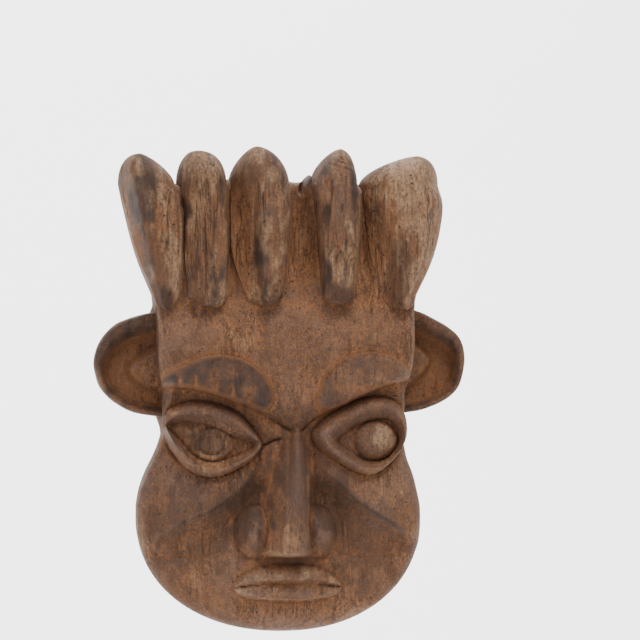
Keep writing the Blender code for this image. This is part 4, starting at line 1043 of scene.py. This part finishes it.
def earStain(mask, x, y, z, front):
    high = ramp(-25.0, -30.0, y) * front
    return np.maximum(mask, high * (0.35 + 0.6 * ramp(-0.2, 0.6, cloud(x, z, (9, 14), 411, 3))))


def onlyFront(mask, x, y, z, front):
    return mask * ramp(-0.8, -3.0, y)


# the masks hold dust, stains, patina and wear along with painted shade and painted highlights
print("painting the dirt and wear masks")
paint(block, faceSpots, faceLines, {"dust": carvedDust, "worn": onlyFront, "patina": carvedPatina, "shade": sideShade,
                                    "stain": carvedStain})
for piece, spots, lines in zip(lobePieces, lobeSpots, lobeLines):
    paint(piece, spots, lines, {"shade": seatShade, "dust": seatDust, "worn": lobeWorn, "stain": lobeStain})
for piece in earPieces.values():
    paint(piece, {}, {}, {"dust": earDust, "shade": earShade, "stain": earStain, "patina": earStain})


# node helpers and the wood that every carved piece shares

def newGroup(name, inputs, outputs):
    tree = bpy.data.node_groups.new(name, "ShaderNodeTree")
    for label, kind, value in inputs:
        socket = tree.interface.new_socket(name=label, in_out="INPUT", socket_type=kind)
        if value is not None:
            socket.default_value = value
    for label, kind in outputs:
        tree.interface.new_socket(name=label, in_out="OUTPUT", socket_type=kind)
    return tree, tree.nodes.new("NodeGroupInput"), tree.nodes.new("NodeGroupOutput")


def feed(tree, socket, value):
    if isinstance(value, bpy.types.NodeSocket):
        tree.links.new(value, socket)
    elif value is not None:
        socket.default_value = value


def mathNode(tree, operation, a, b=None, clamp=False):
    node = tree.nodes.new("ShaderNodeMath")
    node.operation, node.use_clamp = operation, clamp
    feed(tree, node.inputs[0], a)
    feed(tree, node.inputs[1], b)
    return node.outputs[0]


def mixNode(tree, share, a, b, blend="MIX"):
    node = tree.nodes.new("ShaderNodeMix")
    node.data_type, node.blend_type = "RGBA", blend
    feed(tree, node.inputs[0], share)
    feed(tree, node.inputs[6], a)
    feed(tree, node.inputs[7], b)
    return node.outputs[2]


def rangeNode(tree, value, low, high, toLow=0.0, toHigh=1.0):
    node = tree.nodes.new("ShaderNodeMapRange")
    node.interpolation_type = "SMOOTHSTEP"
    for index, item in enumerate((value, low, high, toLow, toHigh)):
        feed(tree, node.inputs[index], item)
    return node.outputs[0]


def noiseNode(tree, vector, scale, stretch=(1, 1, 1), detail=4.0, rough=0.6, warp=0.0):
    mapping = tree.nodes.new("ShaderNodeMapping")
    feed(tree, mapping.inputs["Vector"], vector)
    mapping.inputs["Scale"].default_value = stretch
    node = tree.nodes.new("ShaderNodeTexNoise")
    feed(tree, node.inputs["Vector"], mapping.outputs[0])
    node.inputs["Scale"].default_value = scale
    node.inputs["Detail"].default_value = detail
    node.inputs["Roughness"].default_value = rough
    node.inputs["Distortion"].default_value = warp
    return node.outputs[0]


def boundTo(tree):
    calc = partial(mathNode, tree)
    return (calc, partial(calc, "MULTIPLY"), partial(calc, "ADD"), partial(mixNode, tree), partial(rangeNode, tree),
            partial(noiseNode, tree))


woodTones = {"wood": (0.105, 0.049, 0.025, 1), "dark": (0.041, 0.017, 0.008, 1), "dust": (0.178, 0.069, 0.024, 1),
             "patina": (0.072, 0.040, 0.030, 1), "pale": (0.285, 0.170, 0.090, 1), "black": (0.015, 0.0075, 0.005, 1)}
maskNames = ("dust", "shade", "worn", "patina", "stain")


def makeWoodGroup():
    colour, number, vector = "NodeSocketColor", "NodeSocketFloat", "NodeSocketVector"
    inputs = [("Position", vector, None)]
    inputs += [(f"{tone.capitalize()} Colour", colour, woodTones[tone]) for tone in woodTones]
    inputs += [(mask.capitalize(), number, 0.0) for mask in maskNames] + [("Grain", number, 0.5), ("Pits", number, 0.5)]
    tree, given, result = newGroup("weatheredWood", inputs,
                                   [("Colour", colour), ("Roughness", number), ("Height", number)])
    calc, times, plus, mix, fit, noise = boundTo(tree)
    take = given.outputs
    spot = take["Position"]
    mottle = noise(spot, 70.0, (1, 1, 0.7), 6.0, 0.62, 0.4)
    patches = noise(spot, 26.0, (1, 1, 0.8), 4.0, 0.6, 0.6)
    fleck = noise(spot, 560.0, (1, 1, 0.75), 3.0, 0.75)
    grit = noise(spot, 1250.0, (1, 1, 1), 2.0, 0.8)
    blotch = noise(spot, 190.0, (1, 1, 0.8), 4.0, 0.7, 0.3)
    fibre = noise(spot, 520.0, (1, 1, 0.09), 4.0, 0.7, 0.3)
    vein = noise(spot, 150.0, (1, 1, 0.07), 5.0, 0.6, 0.5)
    # thin dark checks along the grain, where the vein noise crosses its middle
    checks = fit(calc("ABSOLUTE", calc("SUBTRACT", vein, 0.5)), 0.0, 0.024, 1.0, 0.0)
    checks = times(checks, fit(patches, 0.44, 0.58))
    checks = times(checks, take["Grain"])
    pits = tree.nodes.new("ShaderNodeTexVoronoi")
    feed(tree, pits.inputs["Vector"], spot)
    pits.inputs["Scale"].default_value = 210.0
    pits.inputs["Randomness"].default_value = 1.0
    chosen = fit(noise(spot, 190.0, detail=1.0), 0.54, 0.60)
    pit = times(fit(pits.outputs["Distance"], 0.10, 0.17, 1.0, 0.0), chosen)
    pit = times(pit, take["Pits"])

    base = mix(fit(mottle, 0.40, 0.60), take["Dark Colour"], take["Wood Colour"])
    base = mix(0.38, base, take["Wood Colour"])
    base = mix(fit(blotch, 0.50, 0.36, 0.0, 0.6), base, take["Dark Colour"])
    patina = times(take["Patina"], fit(mottle, 0.30, 0.66, 0.35, 1.0))
    base = mix(patina, base, take["Patina Colour"])
    loose = fit(plus(fleck, times(patches, 0.7)), 0.78, 0.98)
    dust = plus(times(take["Dust"], 0.95), times(loose, 0.62), True)
    base = mix(times(dust, fit(fleck, 0.38, 0.58, 0.35, 1.0)), base, take["Dust Colour"])
    streak = fit(fibre, 0.34, 0.68)
    # pale wear on ridges, which also carries painted highlights on lit edges
    wearAndHighlightBase = plus(take["Worn"], fit(patches, 0.56, 0.72, 0.0, 0.48))
    worn = times(wearAndHighlightBase, fit(fleck, 0.34, 0.62, 0.25, 1.0), True)
    base = mix(times(worn, 0.80), base, take["Pale Colour"])
    speck = fit(grit, 0.56, 0.68)
    base = mix(times(speck, 0.50), base, take["Pale Colour"])
    grainShare = times(calc("SUBTRACT", 1.0, streak), times(take["Grain"], 0.62))
    base = mix(grainShare, base, take["Dark Colour"])
    gritDark = fit(plus(grit, fleck), 0.92, 0.70)
    base = mix(times(gritDark, 0.62), base, take["Dark Colour"])
    shade = times(take["Shade"], 0.70)
    base = mix(shade, base, take["Dark Colour"])
    # dark stains, which also carry painted shade under the creases, on the lower cheeks and at the lobes' feet
    stain = times(take["Stain"], fit(mottle, 0.26, 0.60, 0.45, 1.0), True)
    stain = calc("MAXIMUM", stain, times(checks, 0.8))
    stain = calc("MAXIMUM", times(stain, 0.9), pit)
    base = mix(stain, base, take["Black Colour"])
    tree.links.new(base, result.inputs["Colour"])

    gloss = times(plus(patina, worn), 0.20)
    roughness = calc("SUBTRACT", fit(fleck, 0.3, 0.7, 0.70, 0.92), gloss)
    tree.links.new(roughness, result.inputs["Roughness"])
    height = plus(times(fleck, 0.30), times(grit, 0.12))
    height = plus(height, times(mottle, 0.8))
    height = plus(height, times(times(fibre, 0.5), take["Grain"]))
    height = calc("SUBTRACT", height, times(calc("MAXIMUM", checks, pit), 0.8))
    tree.links.new(height, result.inputs["Height"])
    return tree


woodGroup = makeWoodGroup()


def makeWood(name, tones, masks, grain, pits, bump):
    material = bpy.data.materials.new(name)
    material.use_nodes = True
    tree = material.node_tree
    shader = tree.nodes["Principled BSDF"]
    shader.inputs["Specular IOR Level"].default_value = 0.24
    wood = tree.nodes.new("ShaderNodeGroup")
    wood.node_tree = woodGroup
    tree.links.new(tree.nodes.new("ShaderNodeTexCoord").outputs["Object"], wood.inputs["Position"])
    for label, tone in tones.items():
        wood.inputs[label].default_value = tone
    wood.inputs["Grain"].default_value, wood.inputs["Pits"].default_value = grain, pits
    for mask in masks:
        layer = tree.nodes.new("ShaderNodeAttribute")
        layer.attribute_name = mask
        tree.links.new(layer.outputs["Fac"], wood.inputs[mask.capitalize()])
    relief = tree.nodes.new("ShaderNodeBump")
    relief.inputs["Strength"].default_value = 0.9
    relief.inputs["Distance"].default_value = bump * mm
    tree.links.new(wood.outputs["Colour"], shader.inputs["Base Color"])
    tree.links.new(wood.outputs["Roughness"], shader.inputs["Roughness"])
    tree.links.new(wood.outputs["Height"], relief.inputs["Height"])
    tree.links.new(relief.outputs[0], shader.inputs["Normal"])
    return material


faceWood = makeWood("dustyFaceWood", {}, maskNames, 0.42, 0.8, 1.7)
lobeWood = makeWood("smokedLobeWood", {"Wood Colour": (0.120, 0.056, 0.027, 1)}, maskNames, 0.78, 1.0, 1.5)
earWood = makeWood("dustyEarWood", {"Wood Colour": (0.112, 0.052, 0.027, 1)}, maskNames, 0.4, 0.7, 1.3)
for piece, material in [(block, faceWood)] + [(p, lobeWood) for p in lobePieces] + \
        [(p, earWood) for p in earPieces.values()]:
    piece.data.materials.append(material)


# pegs: one tree makes them all, on points set from the pegs' own places

pegs = {"lobeRadius": 3.45, "earRadius": 2.45, "end": -0.4, "sides": 18, "rings": 14, "wobble": 0.12, "seed": 5}


def pegPoints():
    points, sizes = [], []
    for name in sorted(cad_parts):
        if "_peg_" not in name:
            continue
        low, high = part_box(name)
        radius = pegs["lobeRadius"] if name.startswith("lobe") else pegs["earRadius"]
        length = (pegs["end"] * mm) - low.y
        points.append(((low.x + high.x) / 2, low.y + length / 2, (low.z + high.z) / 2))
        sizes.append((radius * mm, radius * mm, length))
    return points, sizes


def pegTree(material):
    tree = bpy.data.node_groups.new("whittledPegs", "GeometryNodeTree")
    for label, kind, value in (("Places", "NodeSocketGeometry", None), ("Sides", "NodeSocketInt", pegs["sides"]),
                               ("Rings", "NodeSocketInt", pegs["rings"]), ("Wobble", "NodeSocketFloat", pegs["wobble"]),
                               ("Seed", "NodeSocketInt", pegs["seed"])):
        socket = tree.interface.new_socket(name=label, in_out="INPUT", socket_type=kind)
        if value is not None:
            socket.default_value = value
    tree.interface.new_socket(name="Pegs", in_out="OUTPUT", socket_type="NodeSocketGeometry")

    def add(kind, **fed):
        node = tree.nodes.new(kind)
        for label, value in fed.items():
            feed(tree, node.inputs[label], value)
        return node

    given, result = add("NodeGroupInput"), add("NodeGroupOutput")
    rod = add("GeometryNodeMeshCylinder", Vertices=given.outputs["Sides"], Radius=1.0, Depth=1.0)
    feed(tree, rod.inputs["Side Segments"], given.outputs["Rings"])
    size = add("GeometryNodeInputNamedAttribute", Name="pegSize")
    size.data_type = "FLOAT_VECTOR"
    rods = add("GeometryNodeInstanceOnPoints", Points=given.outputs["Places"], Instance=rod.outputs["Mesh"],
               Scale=size.outputs["Attribute"], Rotation=(math.radians(90), 0, 0))
    loose = add("GeometryNodeRealizeInstances", Geometry=rods.outputs[0])
    # knife flats: push the sides in a little by a noise on the point's place
    noise = add("ShaderNodeTexNoise", Vector=add("GeometryNodeInputPosition").outputs[0], Scale=260.0)
    noise.noise_dimensions = "4D"
    feed(tree, noise.inputs["W"], given.outputs["Seed"])
    depth = mathNode(tree, "MULTIPLY", noise.outputs[0],
                     mathNode(tree, "MULTIPLY", given.outputs["Wobble"], -2.0 * mm))
    shift = add("ShaderNodeVectorMath")
    shift.operation = "SCALE"
    feed(tree, shift.inputs[0], add("GeometryNodeInputNormal").outputs[0])
    feed(tree, shift.inputs["Scale"], depth)
    move = add("GeometryNodeSetPosition", Geometry=loose.outputs[0], Offset=shift.outputs[0])
    wood = add("GeometryNodeSetMaterial", Geometry=move.outputs[0], Material=material)
    feed(tree, result.inputs[0], wood.outputs[0])
    return tree


def makePegs(material):
    points, sizes = pegPoints()
    mesh = bpy.data.meshes.new("pegPlaces")
    mesh.from_pydata(points, [], [])
    layer = mesh.attributes.new("pegSize", "FLOAT_VECTOR", "POINT")
    layer.data.foreach_set("vector", np.array(sizes, dtype=np.float32).ravel())
    piece = place("woodenPegs", mesh)
    modifier = piece.modifiers.new("whittledPegs", "NODES")
    tree = pegTree(material)
    modifier.node_group = tree
    for item in tree.interface.items_tree:
        if item.in_out == "INPUT" and item.name in ("Sides", "Rings", "Wobble", "Seed"):
            modifier[item.identifier] = pegs[item.name.lower()]
    graph = bpy.context.evaluated_depsgraph_get()
    baked = bpy.data.meshes.new_from_object(piece.evaluated_get(graph))
    piece.modifiers.clear()
    piece.data = baked
    turnOutwards(piece)
    piece.data.shade_smooth()
    piece.data.set_sharp_from_angle(angle=math.radians(40))
    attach(piece, rootBody)
    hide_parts(*[name for name in sorted(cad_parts) if "_peg_" in name])
    return piece


print("making the pegs")
pegTones = {"Wood Colour": (0.185, 0.105, 0.058, 1), "Dark Colour": (0.075, 0.038, 0.020, 1)}
pegWood = makeWood("pegWood", pegTones, (), 0.8, 0.3, 0.6)
makePegs(pegWood)


# the hanger: a bent strap, a wire ring and two slotted screws in old steel

hanger = {"pivot": (0.0, -4.45, -24.0), "ringHalf": 8.5, "ringLength": 14.8, "wire": 1.25, "wireSides": 18,
          "strapHalf": 5.0, "strapThick": 1.6, "strapBack": -7.7, "strapEnd": -44.0, "knuckle": (3.25, 1.65),
          "edge": 0.35, "screwLevels": (-31.5, -40.0), "headRadius": 3.0, "headTop": -5.9, "slot": (0.42, 0.7)}


def makeSteel():
    material = bpy.data.materials.new("rustySteel")
    material.use_nodes = True
    tree = material.node_tree
    shader = tree.nodes["Principled BSDF"]
    spot = tree.nodes.new("ShaderNodeTexCoord").outputs["Object"]
    calc, times, plus, mix, fit, noise = boundTo(tree)
    patch = noise(spot, 420.0, detail=5.0, rough=0.7)
    fine = noise(spot, 2600.0, detail=3.0)
    rust = fit(patch, 0.40, 0.53)
    colour = mix(fine, (0.070, 0.024, 0.010, 1), (0.150, 0.056, 0.020, 1))
    bare = mix(fine, (0.075, 0.070, 0.066, 1), (0.16, 0.152, 0.145, 1))
    tree.links.new(mix(rust, bare, colour), shader.inputs["Base Color"])
    tree.links.new(times(calc("SUBTRACT", 1.0, rust), 0.9), shader.inputs["Metallic"])
    tree.links.new(fit(rust, 0.0, 1.0, 0.38, 0.88), shader.inputs["Roughness"])
    relief = tree.nodes.new("ShaderNodeBump")
    relief.inputs["Strength"].default_value, relief.inputs["Distance"].default_value = 0.7, 0.15 * mm
    tree.links.new(plus(times(rust, 0.6), fine), relief.inputs["Height"])
    tree.links.new(relief.outputs[0], shader.inputs["Normal"])
    return material


def sweep(name, path, radius, sides):
    # a round wire along a closed path of millimetre points lying in one plane across y
    path = np.asarray(path, dtype=float)
    ahead, behind = np.roll(path, -1, axis=0), np.roll(path, 1, axis=0)
    along = ahead - behind
    along /= np.linalg.norm(along, axis=1)[:, None]
    across = np.cross(along, (0.0, 1.0, 0.0))
    across /= np.linalg.norm(across, axis=1)[:, None]
    turn = np.linspace(0, 2 * math.pi, sides, endpoint=False)
    ring = across[:, None, :] * np.cos(turn)[:, None] + np.array((0.0, 1.0, 0.0)) * np.sin(turn)[:, None]
    points = (path[:, None, :] + radius * ring).reshape(-1, 3)
    count = len(path)
    index = np.arange(count * sides).reshape(count, sides)
    following = np.roll(index, -1, axis=0)
    faces = [tuple(f) for f in np.stack([index, np.roll(index, -1, 1), np.roll(following, -1, 1), following],
                                        axis=-1).reshape(-1, 4)]
    return meshFrom(name, points, faces)


def makeRing(steel):
    px, py, pz = hanger["pivot"]
    half, length = hanger["ringHalf"], hanger["ringLength"]
    corner = 2.6
    path = [(x, 0.0) for x in np.linspace(-half + corner, half - corner, 12)]
    path += [(half - corner + corner * math.sin(a), -corner + corner * math.cos(a)) for a in np.linspace(0.2, 1.5, 7)]
    bowl = length - corner
    path += [(half * math.cos(a), -corner - bowl * math.sin(a)) for a in np.linspace(0.06, math.pi - 0.06, 40)]
    path += [(-half + corner - corner * math.sin(a), -corner + corner * math.cos(a)) for a in np.linspace(1.5, 0.2, 7)]
    ring = sweep("wireRing", [(px + x, py, pz + z) for x, z in path], hanger["wire"], hanger["wireSides"])
    turnOutwards(ring)
    ring.data.shade_smooth()
    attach(ring, "ring")
    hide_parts("hanger_ring")
    ring.data.materials.append(steel)


def strapProfile():
    # the strip's outline seen from the side: flat leg, then a roll round the ring's bar
    _, py, pz = hanger["pivot"]
    outer, inner = hanger["knuckle"]
    back, thick, end = hanger["strapBack"], hanger["strapThick"], hanger["strapEnd"]
    outside = [(py - outer * math.cos(a), pz + outer * math.sin(a)) for a in np.linspace(0.0, math.radians(268), 34)]
    inside = [(py - inner * math.cos(a), pz + inner * math.sin(a)) for a in np.linspace(math.radians(268), 0.0, 30)]
    legTop = pz - 1.5
    return [(back, end + 0.6), (back, legTop)] + outside + inside + [(back + thick, legTop - 1.2),
                                                                    (back + thick, end + 0.6), (back + thick / 2, end)]


def makeStrap(steel):
    profile, half = strapProfile(), hanger["strapHalf"]
    edge = hanger["edge"]
    builder = bmesh.new()
    rows = []
    for x in (-half, -half * 0.5, 0.0, half * 0.5, half):
        rows.append([builder.verts.new(Vector((x, y, z)) * mm) for y, z in profile])
    for a, b in zip(rows, rows[1:]):
        for k in range(len(profile)):
            j = (k + 1) % len(profile)
            builder.faces.new((a[k], a[j], b[j], b[k]))
    builder.faces.new(rows[0])
    builder.faces.new(rows[-1])
    bmesh.ops.recalc_face_normals(builder, faces=builder.faces)
    rim = [e for e in builder.edges if len(e.link_faces) == 2 and e.calc_face_angle(0) > math.radians(60)]
    bmesh.ops.bevel(builder, geom=rim, offset=edge * mm, segments=2, affect="EDGES", profile=0.6)
    strap = builtPiece("bentStrap", builder)
    strap.data.shade_smooth()
    strap.data.set_sharp_from_angle(angle=math.radians(50))
    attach(strap, rootBody)
    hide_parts("hanger_strap")
    strap.data.materials.append(steel)


def makeScrew(name, node, level, steel):
    # a low domed head with a slot, on a plain shank
    radius, top = hanger["headRadius"], hanger["headTop"]
    low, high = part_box(node)
    tip = low.y / mm
    builder = bmesh.new()
    previous, sides = None, 40
    outline = [(radius * share, top + rise)
               for share, rise in ((0.35, 0.42), (0.62, 0.34), (0.86, 0.16), (1.0, -0.2), (0.96, -0.45))]
    outline += [(1.4, top - 1.9), (1.4, tip + 3.0), (0.9, tip + 1.0), (0.15, tip)]
    for reach, y in outline:
        ring = [builder.verts.new(Vector((reach * math.cos(a), y, level + reach * math.sin(a))) * mm)
                for a in np.linspace(0, 2 * math.pi, sides, endpoint=False)]
        if previous is None:
            builder.faces.new(ring)
        else:
            for k in range(sides):
                j = (k + 1) % sides
                builder.faces.new((previous[k], previous[j], ring[j], ring[k]))
        previous = ring
    builder.faces.new(previous)
    bmesh.ops.recalc_face_normals(builder, faces=builder.faces)
    screw = builtPiece(name, builder)
    halfSlot, depth = hanger["slot"]

    def cutSlot(cutter):
        lean = math.radians(25 if level > -35 else -40)
        along, over = Vector((math.cos(lean), 0, math.sin(lean))), Vector((-math.sin(lean), 0, math.cos(lean)))
        rings = []
        for y in (top + 3.0, top + 0.42 - depth):
            ring = [cutter.verts.new((Vector((0, y, level)) + along * a * 4.0 + over * b * halfSlot) * mm)
                    for a, b in ((-1, -1), (1, -1), (1, 1), (-1, 1))]
            rings.append(ring)
            cutter.faces.new(ring)
        for k in range(4):
            j = (k + 1) % 4
            cutter.faces.new((rings[0][k], rings[0][j], rings[1][j], rings[1][k]))

    subtract(screw, [makeCutter("slotCutter", cutSlot)])
    screw.data.shade_smooth()
    screw.data.set_sharp_from_angle(angle=math.radians(35))
    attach(screw, rootBody)
    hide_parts(node)
    screw.data.materials.append(steel)


print("making the hanger")
rustySteel = makeSteel()
makeRing(rustySteel)
makeStrap(rustySteel)
for word, level in zip(("Upper", "Lower"), hanger["screwLevels"]):
    makeScrew(f"slottedScrew{word}", f"hanger_screw_{word.lower()}", level, rustySteel)


# floor, light and camera

stage = {"floorLevel": -0.52, "wallAt": 4.6, "halfWidth": 6.0, "cornerRadius": 0.9}
aimPoint = (0.0, 0.0, -0.05)
lamps = [("keyLamp", (0.45, -1.6, 2.4), aimPoint, (1.4, 1.4), 112, (1.0, 0.985, 0.96)),
         ("fillLamp", (-2.2, -1.9, 0.7), aimPoint, (2.0, 2.0), 40, (0.95, 0.975, 1.0)),
         ("backLamp", (0.8, 2.0, 1.8), aimPoint, (1.6, 1.6), 15, (1.0, 1.0, 1.0)),
         ("wallLamp", (0.0, 1.2, 3.0), (0.0, 4.6, 0.2), (3.0, 1.2), 640, (1.0, 1.0, 1.0))]
camera = {"turn": 7.0, "distance": 3.0, "across": 0.0304, "level": -0.0136, "lens": 244.4}


def makeStage():
    radius, wall, floor = stage["cornerRadius"], stage["wallAt"], stage["floorLevel"]
    profile = [(-6.0, floor), (wall - radius, floor)]
    profile += [(wall - radius + radius * math.sin(a), floor + radius - radius * math.cos(a))
                for a in np.linspace(0.1, math.pi / 2, 12)]
    profile += [(wall, 4.4)]
    points, faces = [], []
    for sideX in (-stage["halfWidth"], stage["halfWidth"]):
        points += [(sideX, y, z) for y, z in profile]
    count = len(profile)
    faces = [(i, i + count, i + count + 1, i + 1) for i in range(count - 1)]
    mesh = bpy.data.meshes.new("paleBackdrop")
    mesh.from_pydata(points, [], faces)
    mesh.shade_smooth()
    backdrop = place("paleBackdrop", mesh)
    paper = bpy.data.materials.new("palePaper")
    paper.use_nodes = True
    shader = paper.node_tree.nodes["Principled BSDF"]
    shader.inputs["Base Color"].default_value = (0.86, 0.86, 0.855, 1)
    shader.inputs["Roughness"].default_value = 0.9
    mesh.materials.append(paper)


def addArea(name, spot, aim, size, power, colour):
    lamp = bpy.data.lights.new(name, "AREA")
    lamp.shape, lamp.size, lamp.size_y = "RECTANGLE", size[0], size[1]
    lamp.energy, lamp.color = power, colour
    holder = place(name, lamp)
    holder.location = spot
    holder.rotation_euler = (Vector(aim) - Vector(spot)).to_track_quat("-Z", "Y").to_euler()


def makeLightAndCamera():
    for lamp in lamps:
        addArea(*lamp)
    world = bpy.data.worlds.new("paleRoom")
    world.use_nodes = True
    world.node_tree.nodes["Background"].inputs["Color"].default_value = (0.95, 0.97, 1.0, 1)
    world.node_tree.nodes["Background"].inputs["Strength"].default_value = 1.0
    bpy.context.scene.world = world
    lens = bpy.data.cameras.new("frontCamera")
    lens.lens, lens.sensor_width = camera["lens"], 36.0
    lens.dof.use_dof = False
    turn = math.radians(camera["turn"])
    aim = Vector((camera["across"], 0.0, camera["level"]))
    view = place("frontCamera", lens)
    view.location = aim + Vector((-math.sin(turn), -math.cos(turn), 0.0)) * camera["distance"]
    view.rotation_euler = (aim - view.location).to_track_quat("-Z", "Y").to_euler()
    bpy.context.scene.camera = view


makeStage()
makeLightAndCamera()
